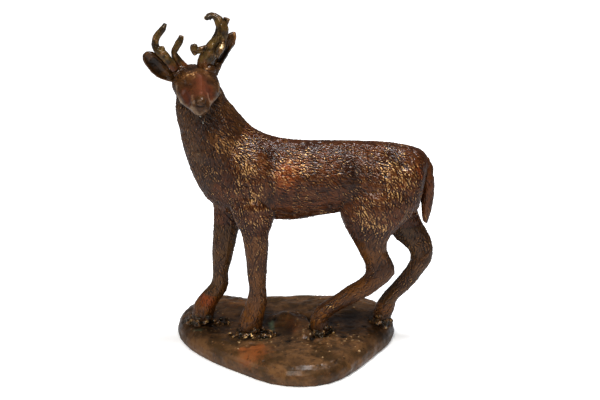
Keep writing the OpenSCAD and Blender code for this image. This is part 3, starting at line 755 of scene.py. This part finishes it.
# Drips at each hoof, and how far out they lie, in half widths of the hoof
DRIP_NUMBERS = (44, 30, 18, 22)
DRIP_SPREADS = (1.75, 1.4, 1.25, 1.2)
for hoof, number, spread in zip(HOOVES, DRIP_NUMBERS, DRIP_SPREADS):
    low, high = (np.array(corner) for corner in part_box(hoof))
    middle, half = (low + high) / 2, (high - low) / 2
    for _ in range(number):
        turn = draw.uniform(0.9, 2.1) * math.pi
        out = draw.uniform(0.75, spread)
        place = middle[:2] + half[:2] * out * np.array([math.cos(turn), math.sin(turn)])
        under = ground_tree.ray_cast((place[0], place[1], high[2]), (0, 0, -1))[0]
        size = draw.uniform(0.9, 2.3) * MM
        climb = draw.uniform(0.0, 6.5) * MM if out < 1.05 else 0.0
        tall = size * draw.uniform(0.6, 1.4)
        if under is not None:
            drips.append(((place[0], place[1], under[2] + 0.3 * size + climb), (size, size, tall)))
daub(braze_lumps, drips)
recast(braze_lumps, BRAZE_GRAIN)
skin = Skin(braze_lumps)
skin.settle(10)
frozen = 0.42 * MM * lumps(skin.points, 2.2 * MM, 21) + 0.3 * MM * lumps(skin.points, 1.1 * MM, 22)
sole = spot("left_fore_hoof", 0, 0, 0)[2]
clear_of_sole = np.clip((sole - 0.3 * MM - skin.points[:, 2]) / (0.8 * MM), 0, 1)
skin.rise += (frozen - 0.1 * MM) * clear_of_sole
skin.work_in()
skin.write()
skin.keep("relief", np.clip(0.5 + frozen / (2.2 * MM), 0, 1))
skin.keep("gold", np.full(skin.count, 0.65))
skin.keep("soot", np.clip(0.35 - frozen / (0.6 * MM), 0.1, 0.85))
BRAZE_PATINA = brew("braze_patina", groove="0c0a07", body="26241a", warm="3a2c18", copper="8a5228",
                    gold="d8b070", rough=(0.28, 0.50), mottle_size=5 * MM, fleck=0.6)
fit_out(braze_lumps, BRAZE_PATINA, "braze_metal", "braze_pads")

# Hooves ---------------------------------------------------------------------------------------------
# Four solid castings, flared to the sole and cleft in front, each drilled and tapped for its stud.
# They are handled most, so their patina is thin and reddish.


def paint(node, **layers):
    """Keeps a casting's patina layers. A touch is a strength, a reach, and spots or shares of the box."""
    skin = Skin(castings[node])
    for layer, touches in layers.items():
        total = np.zeros(skin.count)
        for strength, reach, *path in touches:
            path = [spot(node, *place) if isinstance(place, tuple) else place for place in path]
            total += strength * skin.near(path, reach * MM)
        skin.keep(layer, np.clip(total, 0, 1))


HOOF_PATINA = brew("hoof_patina", groove="1c0f06", body="4a2c14", warm="663c12", copper="8a3c12",
                   gold="b08448", rough=(0.32, 0.50), mottle_size=6 * MM)
HOOF_COPPER = (0.35, 1.0, 0.15, 0.0)
HOOF_GOLD = (0.45, 0.3, 0.3, 0.05)
for hoof, copper, gold in zip(HOOVES, HOOF_COPPER, HOOF_GOLD):
    paint(hoof,
          copper=[(copper, 8, (0.5, 0.2, 0.75))],
          gold=[(gold, 3, (0.1, 0.3, 0.08), (0.5, 0.0, 0.05), (0.9, 0.3, 0.05))],
          soot=[(0.85, 4, (0.0, 0.4, 0.0), (0.5, 0.0, 0.0), (1.0, 0.4, 0.0))])
    castings[hoof].name = hoof + "_cast"
    fit_out(castings[hoof], HOOF_PATINA, "leg_bronze", hoof)

# Legs -----------------------------------------------------------------------------------------------
# Four solid castings with the hair only hinted at, joined to the hooves at the pastern and to the trunk
# above the knee or the hock. The far pair gets a darker copy of the patina, as painted shade.

NEAR_LEG_PATINA = brew("near_leg_patina", groove="1c0f06", body="3c210d", warm="5a3615",
                       copper="8a4416", gold="b08a54", rough=(0.34, 0.52), fleck=0.45)
# A darker copy of the near legs' patina: painted shade on the far pair.
SHADED_FAR_LEG_PATINA = brew("shaded_far_leg_patina", groove="150b05", body="35200e", warm="4a3015", copper="6e3614",
                      gold="94713f", rough=(0.34, 0.52), fleck=0.4)
paint("left_foreleg",
      gold=[(0.7, 7, (0.5, 0.0, 0.95), (0.5, 0.0, 0.05)),
            (0.4, 4, (0.8, 0.2, 0.9))],
      copper=[(0.7, 3, (0.9, 0.1, 0.98), (0.86, 0.1, 0.60))],
      soot=[(0.3, 3, (0.7, 0.0, 0.62))])
paint("right_foreleg",
      gold=[(0.5, 6, (0.4, 0.1, 0.8), (0.35, 0.1, 0.1))],
      copper=[(0.6, 4, (0.6, 0.0, 1.0)), (0.6, 5, (0.1, 0.2, 0.0))],
      dust=[(0.3, 2, (0.1, 0.3, 0.9), (0.1, 0.3, 0.3))])
paint("left_hind_leg",
      gold=[(0.7, 6, (0.72, 0.0, 1.0), (0.78, 0.0, 0.85)),
            (0.4, 3, (0.95, 0.2, 0.6), (0.8, 0.1, 0.4)),
            (0.6, 6, (0.6, 0.1, 0.5), (0.05, 0.1, 0.1))],
      copper=[(0.35, 8, (0.2, 0.2, 0.15))],
      soot=[(0.2, 5, (0.8, 0.1, 0.65))])
paint("right_hind_leg",
      gold=[(0.6, 5, (0.9, 0.1, 0.75), (0.35, 0.0, 0.05))],
      copper=[(0.3, 6, (0.7, 0.1, 0.9))],
      dust=[(0.3, 3, (0.95, 0.2, 0.65))])
for leg in LEGS:
    castings[leg].name = leg + "_cast"
    fit_out(castings[leg], NEAR_LEG_PATINA if "left" in leg else SHADED_FAR_LEG_PATINA, "leg_bronze", leg)

# Trunk ----------------------------------------------------------------------------------------------
# The largest casting, hollow and about four millimetres thick, with the hair all over it. The brown
# patina is brushed back to the metal over the shoulder, the ribs and the thigh.

BODY_PATINA = brew("body_patina", groove="180a04", body="321708", warm="4e270d", copper="863e18",
                   gold="c0965f", rough=(0.30, 0.48), fleck=0.55)
SHOULDER_RUB = on_trunk((0.15, 0.18, 0.86), (0.20, 0.12, 0.70))
RIB_RUB = on_trunk((0.35, 0.10, 0.62), (0.43, 0.10, 0.70))
ELBOW_RUB = on_trunk((0.23, 0.05, 0.38), (0.23, 0.05, 0.18))
HIP_RUB = on_trunk((0.83, 0.10, 0.66), (0.89, 0.10, 0.58))
THIGH_RUB = on_trunk((0.72, 0.02, 0.22), (0.80, 0.01, 0.12))
paint("torso_shell",
      gold=[(0.8, 11, *SHOULDER_RUB), (0.75, 8, *RIB_RUB), (0.6, 8, *ELBOW_RUB), (0.9, 9, *HIP_RUB),
            (0.9, 7, *THIGH_RUB), (0.45, 14, (0.84, 0.06, 0.40)),
            (0.35, 22, (0.20, 0.10, 0.50), (0.85, 0.10, 0.50)),
            (0.5, 15, *mirrored(SHOULDER_RUB)), (0.6, 12, *mirrored(HIP_RUB)),
            (0.4, 12, *mirrored(RIB_RUB))],
      copper=[(0.9, 8, *RIB_RUB), (0.7, 9, (0.37, 0.10, 0.52)),
              (0.8, 5, (0.88, 0.07, 0.50)), (0.9, 2.6, (0.955, 0.2, 0.66), (0.965, 0.2, 0.56)),
              (0.45, 9, (0.40, 0.10, 0.28), (0.55, 0.10, 0.30)),
              (0.5, 10, *mirrored(RIB_RUB)), (0.5, 8, *mirrored(HIP_RUB))],
      # Near black in the flank fold, the hip hollow and the shoulder valley is painted shade.
      soot=[(0.4, 4, *FLANK[:2]), (0.35, 4, *HIP_HOLLOW), (0.25, 4, *SHOULDER_VALLEY),
            (0.4, 4, *mirrored(FLANK[:2])), (0.35, 5, (0.62, 0.08, 0.50))],
      dust=[(0.35, 5, (0.25, 0.5, 0.93), (0.5, 0.5, 0.86), (0.9, 0.5, 0.80)),
            # A thin pale line down the rear edge of the thigh: painted rim highlight.
            (0.5, 2, (0.91, 0.10, 0.30), (0.86, 0.12, 0.02))])
castings["torso_shell"].name = "trunk_cast"
fit_out(castings["torso_shell"], BODY_PATINA, "body_bronze", "torso_shell")

# Neck -----------------------------------------------------------------------------------------------
# A tapering bronze casting, cored like the trunk, that carries the head on a sleeve and pins.
# Its throat is rough, and grey with old wax.

NECK_PATINA = brew("neck_patina", groove="180c06", body="301a0d", warm="44280f", copper="703818",
                   gold="a07a4a", rough=(0.32, 0.52), fleck=0.5)
paint("neck_shell",
      gold=[(1.3, 8, (0.80, 0.15, 0.55), (0.66, 0.10, 0.62)),
            (0.35, 14, (0.55, 0.10, 0.30))],
      copper=[(0.35, 8, (0.70, 0.20, 0.85))],
      dust=[(0.40, 9, (0.20, 0.20, 0.75), (0.30, 0.14, 0.45)),
            (0.3, 3, (0.95, 0.4, 0.9), (0.99, 0.5, 0.8))],
      soot=[(0.3, 7, (0.55, 0.10, 0.85))])
castings["neck_shell"].name = "neck_cast"
fit_out(castings["neck_shell"], NECK_PATINA, "body_bronze", "neck_shell")

# Head -----------------------------------------------------------------------------------------------
# A small cored casting with a smooth red-brown face. Wax and dust have greyed the folds, the rims of the
# jaw carry a painted rim highlight in pale grey, and the brow is rubbed to a grainy gold. The eye sockets
# and the mouth under the nose are darkened with painted shade.

HEAD_PATINA = brew("head_patina", groove="1c0e06", body="38220e", warm="462a10", copper="883c1e",
                   gold="b08858", dust="86725c", rough=(0.36, 0.55), mottle_size=7 * MM)
paint("head_casting",
      gold=[(1.0, 3.2, (0.26, 0.44, 0.90), (0.43, 0.42, 0.92)),
            (0.85, 3.2, (0.66, 0.50, 0.97), (0.82, 0.46, 0.86))],
      copper=[(0.42, 2.0, *CENTRE_RIDGE[1:]), (0.15, 5, *CENTRE_RIDGE[:2]),
              (0.6, 1.0, (0.64, 0.6, 0.99), (0.72, 0.52, 0.94))],
      blush=[(0.5, 5, *CENTRE_RIDGE[1:]), (0.6, 5, *CHEEKS[0]), (0.6, 5, *CHEEKS[1])],
      # Pale grey along the rim of the jaw is a painted rim highlight.
      dust=[(0.55, 1.9, *JAW_RIM)] + [(0.48, 1.8, *path) for path in FOLDS]
      + [(0.55, 2.8, NOSE), (0.35, 4.5, (0.15, 0.45, 0.62), (0.22, 0.38, 0.53))],
      # Near black in the eye sockets and under the nose is painted shade.
      soot=[(0.25, 2.5, *SOCKETS[0]), (0.25, 2.5, *SOCKETS[1]),
            (0.45, 1.5, (0.55, 0.04, 0.57), (0.70, 0.05, 0.60))])
castings["head_casting"].name = "head_cast"
fit_out(castings["head_casting"], HEAD_PATINA, "head_bronze", "head_casting")

# Tail -----------------------------------------------------------------------------------------------
# A small solid bronze casting, coped to the rump and brazed on, so that the joint runs in smoothly.
# Its lower end stands clear of the thigh.

TAIL_GRAIN = 0.4 * MM
TAIL_STROKES = 500
tail_cast = gathered("tail_cast", ["tail"])
daub(tail_cast, [(spot("tail", 0.16, 0.5, 1.02), (4.5 * MM, 4.4 * MM, 6.0 * MM)),
                 (spot("tail", -0.06, 0.5, 1.07), (3.6 * MM, 4.2 * MM, 4.0 * MM)),
                 (spot("tail", 0.45, 0.5, 0.90), (3.9 * MM, 3.8 * MM, 7.0 * MM))])
recast(tail_cast, TAIL_GRAIN)
skin = Skin(tail_cast)
skin.settle(8)
starts = np.random.default_rng(8).integers(0, skin.count, TAIL_STROKES)
draw = np.random.default_rng(9)
tail_hair = strokes(skin, skin.normals(), starts, draw.uniform(2.0, 4.0, TAIL_STROKES) * MM, 0.4 * MM,
                    draw.uniform(0.08, 0.2, TAIL_STROKES) * MM, 0.4, draw)
skin.rise += tail_hair + 0.2 * MM * lumps(skin.points, 3 * MM, 31)
skin.work_in()
skin.write()
skin.keep("relief", np.clip(0.5 + tail_hair / (0.62 * MM), 0, 1))
skin.keep("copper", 0.5 * skin.near(on_body("tail", (0.5, 0.3, 0.7)), 12 * MM))
skin.keep("gold", 0.7 * skin.near(on_body("tail", (0.4, 0.3, 0.15)), 8 * MM))
TAIL_PATINA = brew("tail_patina", groove="180c05", body="381c0c", warm="4e2a10", copper="783a18",
                   gold="946c34", rough=(0.32, 0.50), mottle_size=8 * MM)
fit_out(tail_cast, TAIL_PATINA, "body_bronze", "tail")

# Ears -----------------------------------------------------------------------------------------------
# Two thin cups of bronze, cast separately and brazed to the skull. They are black inside, and rubbed
# to orange gold along the rims.

EAR_PATINA = brew("ear_patina", groove="100905", body="36220e", warm="4a2e12", copper="704820",
                  gold="a8885c", rough=(0.34, 0.52), mottle_size=5 * MM, fleck=0.6)
EAR_RIMS = {
    "left_ear": ((0.95, 0.5, 0.98), (1.0, 0.4, 0.75), (0.75, 0.2, 0.40), (0.45, 0.1, 0.10)),
    "right_ear": ((0.0, 0.4, 0.95), (0.15, 0.3, 0.45), (0.55, 0.3, 0.10), (0.95, 0.3, 0.0)),
}
EAR_CUPS = {"left_ear": (0.60, 0.3, 0.50), "right_ear": (0.35, 0.3, 0.60)}
FINE_GRAIN = 0.32 * MM
for ear, rim_places in EAR_RIMS.items():
    piece = gathered(ear + "_cast", [ear])
    if ear == "left_ear":
        daub(piece, [(spot(ear, 0.78, 0.55, 0.82), (3.0 * MM, 1.4 * MM, 5.4 * MM))])
    recast(piece, FINE_GRAIN)
    skin = Skin(piece)
    skin.settle(3)
    uneven = 0.16 * MM * lumps(skin.points, 1.6 * MM, 41) + 0.2 * MM * lumps(skin.points, 3.4 * MM, 42)
    skin.rise += uneven
    skin.work_in()
    skin.write()
    skin.keep("relief", np.clip(0.5 + uneven / (0.8 * MM), 0, 1))
    rim = on_body(ear, *rim_places)
    rim_glow = skin.near(rim, 1.8 * MM)
    inside = skin.near(on_body(ear, EAR_CUPS[ear]), 6 * MM) * (skin.normals()[:, 1] < 0)
    skin.keep("copper", rim_glow)
    skin.keep("gold", np.clip(1.2 * skin.near(rim, 1.1 * MM), 0, 1))
    skin.keep("soot", np.clip(0.95 * inside - rim_glow, 0, 1))
    fit_out(piece, EAR_PATINA, "ear_bronze", ear)

# Antlers --------------------------------------------------------------------------------------------
# Lumpy branches of olive-brown bronze, each pinned or brazed to the skull or to its beam. The tips are
# rubbed bright.

ANTLER_PATINA = brew("antler_patina", groove="150d06", body="3c2a12", warm="57421e", copper="5c2c14",
                     gold="d8bc8c", dust="a89878", rough=(0.28, 0.44), mottle_size=5 * MM, fleck=0.95)
BRIGHT = {
    "left_antler": [(0.25, 0.4, 0.90), (0.05, 0.4, 0.93)],
    "left_rear_tine": [(0.8, 0.5, 1.0)],
    "left_front_tine": [(0.5, 0.1, 0.9), (0.6, 0.1, 0.6), (0.2, 0.1, 0.1)],
    "left_brow_tine": [(0.75, 0.2, 0.75)],
    "right_brow_tine": [(0.8, 0.5, 1.0)],
    "right_antler": [(0.75, 0.5, 1.0), (0.5, 0.5, 0.62), (0.85, 0.5, 0.15)],
}
SKULL_TOP = 200 * MM
for number, (branch, places) in enumerate(BRIGHT.items()):
    piece = gathered(branch + "_cast", [branch])
    if branch == "left_brow_tine":
        daub(piece, [(spot(branch, 0.26, 0.4, 0.45), (2.3 * MM, 2.2 * MM, 3.9 * MM))])
    if branch == "left_antler":
        daub(piece, [(spot(branch, 0.36, 0.4, 0.91), (1.9 * MM, 1.7 * MM, 1.6 * MM))])
    recast(piece, FINE_GRAIN)
    skin = Skin(piece)
    skin.settle(4)
    knobs = 0.34 * MM * lumps(skin.points, 3.2 * MM, 50 + number)
    knobs += 0.14 * MM * lumps(skin.points, 1.3 * MM, 60 + number)
    skin.rise += knobs
    skin.work_in()
    skin.write()
    skin.keep("relief", np.clip(0.5 + knobs / (1.3 * MM), 0, 1))
    skin.keep("gold", np.clip(sum(skin.near([spot(branch, *place)], 2.4 * MM) for place in places), 0, 1))
    skin.keep("dust", 0.5 * np.clip(lumps(skin.points, 4 * MM, 70 + number), 0, 1))
    skin.keep("soot", np.clip(0.3 - knobs / (0.5 * MM), 0, 0.6))
    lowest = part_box(branch)[0][2]
    from_skull = np.clip(1.3 - (skin.points[:, 2] - lowest) / (10 * MM), 0, 1)
    skin.keep("copper", from_skull * (lowest < SKULL_TOP))
    fit_out(piece, ANTLER_PATINA, "antler_bronze", branch)

# Studs, washers and nuts ------------------------------------------------------------------------------
# Plated steel studs are screwed up into the hooves. They pass through the ground casting, and the nuts
# draw them down against their washers from below.


def plated_steel(name, tone, low, high):
    """Dull zinc plate with cloudy wear and fine tool marks."""
    bench = Patina(name)
    cloud = bench.mottle(2.5 * MM, 4, 0.6)
    scratch = bench.mottle(0.35 * MM, 2, 0.5)
    plate = bench.wash(bench.between(cloud, 0.35, 0.65), tone, "8d8b84")
    bench.feed(bench.metal.inputs["Base Color"], plate)
    bench.metal.inputs["Metallic"].default_value = 1.0
    worn = bench.between(bench.more(cloud, scratch, 0.3), 0.4, 0.9, low, high)
    bench.feed(bench.metal.inputs["Roughness"], worn)
    bench.feed(bench.metal.inputs["Normal"], bench.pitted(scratch, 0.02 * MM, 0.5))
    return bench.material


STEEL = plated_steel("zinc_plate", "a8a69c", 0.28, 0.52)


def eased(piece_name, node, ease, angle=30):
    """A copy of a node with its sharp edges broken."""
    piece = gathered(piece_name, [node])
    work = bmesh.new()
    work.from_mesh(piece.data)
    bmesh.ops.remove_doubles(work, verts=work.verts, dist=0.002 * MM)
    sharp = [e for e in work.edges if len(e.link_faces) == 2 and e.calc_face_angle(0) > math.radians(angle)]
    bmesh.ops.bevel(work, geom=sharp, offset=ease, segments=2, profile=0.5, affect="EDGES")
    work.to_mesh(piece.data)
    work.free()
    return piece


fit_out(eased("stud_nut_set", "stud_nuts", 0.14 * MM), STEEL, "fastener_steel", "stud_nuts")
fit_out(eased("washer_set", "stud_washers", 0.06 * MM), STEEL, "fastener_steel", "stud_washers")

THREAD_PITCH = 0.5 * MM
THREAD_DEPTH = 0.28 * MM
THREAD_SIDES = 28
THREAD_LEAD = 0.3 * MM
STUD_RADIUS = 1.5 * MM
STUD_GAP = 4 * MM
stud_low, stud_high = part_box("hoof_studs")
stud_work = bmesh.new()
stud_points = node_points("hoof_studs")
stud_places = []
for point in stud_points:
    if all(np.linalg.norm(point[:2] - place) > STUD_GAP for place in stud_places):
        group = stud_points[np.linalg.norm(stud_points[:, :2] - point[:2], axis=1) < STUD_GAP]
        stud_places.append((group[:, :2].min(axis=0) + group[:, :2].max(axis=0)) / 2)
levels = int((stud_high[2] - stud_low[2]) / (THREAD_PITCH / 4))
for place in stud_places:
    rings = []
    for step in range(levels + 1):
        height = stud_low[2] + (stud_high[2] - stud_low[2]) * step / levels
        ring = []
        for side in range(THREAD_SIDES):
            phase = (height / THREAD_PITCH - side / THREAD_SIDES) % 1
            cut = THREAD_DEPTH * (1 - abs(2 * phase - 1))
            lead = THREAD_LEAD * (step in (0, levels))
            turn = 2 * math.pi * side / THREAD_SIDES
            radius = STUD_RADIUS - cut - lead
            ring.append(stud_work.verts.new((
                place[0] + radius * math.cos(turn), place[1] + radius * math.sin(turn), height)))
        rings.append(ring)
    for lower, upper in zip(rings, rings[1:]):
        for side in range(THREAD_SIDES):
            after = (side + 1) % THREAD_SIDES
            stud_work.faces.new((lower[side], lower[after], upper[after], upper[side]))
    stud_work.faces.new(rings[0][::-1])
    stud_work.faces.new(rings[-1])
stud_mesh = bpy.data.meshes.new("stud_set")
stud_work.to_mesh(stud_mesh)
stud_work.free()
stud_set = bpy.data.objects.new("stud_set", stud_mesh)
bpy.context.scene.collection.objects.link(stud_set)
fit_out(stud_set, STEEL, "fastener_steel", "hoof_studs")

# Sleeves, pins, dowels and plugs ----------------------------------------------------------------------
# Inside the joints the castings meet on bronze sleeves and steel dowels, pinned through the wall. The
# core holes are plugged in bronze. Pins and plugs end under the skin, and none show once chased.

RAW_BRONZE = brew("raw_bronze", groove="3a2a18", body="7d5c34", warm="96713f", rough=(0.40, 0.60),
                  mottle_size=6 * MM)
TURNED_STEEL = plated_steel("turned_steel", "8f8c84", 0.32, 0.58)
for node in ("neck_sleeve", "head_sleeve", "leg_dowels", "antler_pins"):
    finish = TURNED_STEEL if node in ("leg_dowels", "antler_pins") else RAW_BRONZE
    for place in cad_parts[node].material_slots:
        place.material = finish


def loose_parts(work):
    """The separate solids of a mesh, each as its set of points."""
    left = set(work.verts)
    while left:
        part = set()
        grown = {left.pop()}
        while grown:
            part |= grown
            grown = {edge.other_vert(vert) for vert in grown for edge in vert.link_edges} - part
        left -= part
        yield part


UNDER_SKIN = 0.86
for piece_name, node, finish, slot in (("joint_pins", "sleeve_pins", TURNED_STEEL, "fastener_steel"),
                                       ("plug_set", "core_plugs", RAW_BRONZE, "body_bronze")):
    piece = eased(piece_name, node, 0.12 * MM)
    work = bmesh.new()
    work.from_mesh(piece.data)
    for part in loose_parts(work):
        middle = sum((vert.co for vert in part), Vector()) / len(part)
        for vert in part:
            vert.co = middle + (vert.co - middle) * UNDER_SKIN
    work.to_mesh(piece.data)
    work.free()
    fit_out(piece, finish, slot, node)

# Floor, lights and camera --------------------------------------------------------------------------
# A sheet of pale paper to stand the finished piece on, in a room that is white to the camera and dim
# to the bronze, with three soft boxes, and one camera in front that looks a little down.

EYE_TARGET = Vector((5, 0, 107.5)) * MM
EYE_DISTANCE = 900 * MM
EYE_RISE = math.radians(18)

PAPER_REACH = 8.0
paper_mesh = bpy.data.meshes.new("paper")
paper_mesh.from_pydata(
    [(-PAPER_REACH, -PAPER_REACH, 0), (PAPER_REACH, -PAPER_REACH, 0), (PAPER_REACH, PAPER_REACH, 0),
     (-PAPER_REACH, PAPER_REACH, 0)], [], [(0, 1, 2, 3)])
paper = bpy.data.objects.new("paper", paper_mesh)
bpy.context.scene.collection.objects.link(paper)
paper_finish = Patina("paper_finish")
paper_finish.feed(paper_finish.metal.inputs["Base Color"], paper_finish.wash(
    paper_finish.mottle(0.4), "f4f4f4", "fafafa"))
paper_finish.metal.inputs["Roughness"].default_value = 0.9
paper_finish.metal.inputs["Specular IOR Level"].default_value = 0.1
paper_finish.metal.inputs["Emission Color"].default_value = (1.0, 1.0, 1.0, 1.0)
from_piece = paper_finish.nodes.new("ShaderNodeVectorMath")
from_piece.operation = "LENGTH"
paper_finish.feed(from_piece.inputs[0], paper_finish.place)
seen_paper = paper_finish.nodes.new("ShaderNodeLightPath")
paper_finish.feed(paper_finish.metal.inputs["Emission Strength"], paper_finish.sum(
    "MULTIPLY", seen_paper.outputs["Is Camera Ray"],
    paper_finish.between(from_piece.outputs["Value"], 0.08, 0.26, 0.45, 1.0)))
paper_mesh.materials.append(paper_finish.material)

room = bpy.data.worlds.new("room")
room.use_nodes = True
room_nodes, room_links = room.node_tree.nodes, room.node_tree.links
sweep = room_nodes["Background"]
sweep.inputs["Strength"].default_value = 1.0
way = room_nodes.new("ShaderNodeSeparateXYZ")
room_links.new(room_nodes.new("ShaderNodeTexCoord").outputs["Generated"], way.inputs[0])
fade = room_nodes.new("ShaderNodeValToRGB")
fade.color_ramp.elements[0].position = 0.30
fade.color_ramp.elements[0].color = (0.07, 0.07, 0.075, 1.0)
fade.color_ramp.elements[1].position = 0.85
fade.color_ramp.elements[1].color = (0.16, 0.165, 0.18, 1.0)
shift = room_nodes.new("ShaderNodeMapRange")
shift.inputs["From Min"].default_value = -1.0
room_links.new(way.outputs["Y"], shift.inputs["Value"])
room_links.new(shift.outputs["Result"], fade.inputs["Fac"])
seen = room_nodes.new("ShaderNodeLightPath")
blend = room_nodes.new("ShaderNodeMix")
blend.data_type = "RGBA"
room_links.new(seen.outputs["Is Camera Ray"], blend.inputs["Factor"])
room_links.new(fade.outputs["Color"], blend.inputs[6])
blend.inputs[7].default_value = (1.0, 1.0, 1.0, 1.0)
room_links.new(blend.outputs[2], sweep.inputs["Color"])
bpy.context.scene.world = room
bpy.context.scene.view_settings.view_transform = "Standard"


def soft_box(name, place, width, power, colour):
    """A square soft box that faces the piece."""
    lamp = bpy.data.lights.new(name, "AREA")
    lamp.shape = "SQUARE"
    lamp.size = width
    lamp.energy = power
    lamp.color = colour
    box = bpy.data.objects.new(name, lamp)
    box.location = place
    box.rotation_euler = (EYE_TARGET - Vector(place)).to_track_quat("-Z", "Y").to_euler()
    box.visible_camera = False
    bpy.context.scene.collection.objects.link(box)


soft_box("front_box", (-0.12, -0.75, 0.68), 0.30, 6.0, (1.0, 0.95, 0.88))
soft_box("top_box", (0.16, -0.08, 1.0), 0.24, 11.0, (0.92, 0.95, 1.0))
soft_box("side_box", (-0.9, -0.25, 0.45), 0.45, 1.6, (1.0, 0.98, 0.95))

eye = bpy.data.cameras.new("eye")
eye.lens = 80
eye.sensor_width = 36
camera = bpy.data.objects.new("eye", eye)
camera.location = EYE_TARGET + EYE_DISTANCE * Vector((0, -math.cos(EYE_RISE), math.sin(EYE_RISE)))
camera.rotation_euler = (math.pi / 2 - EYE_RISE, 0, 0)
bpy.context.scene.collection.objects.link(camera)
bpy.context.scene.camera = camera
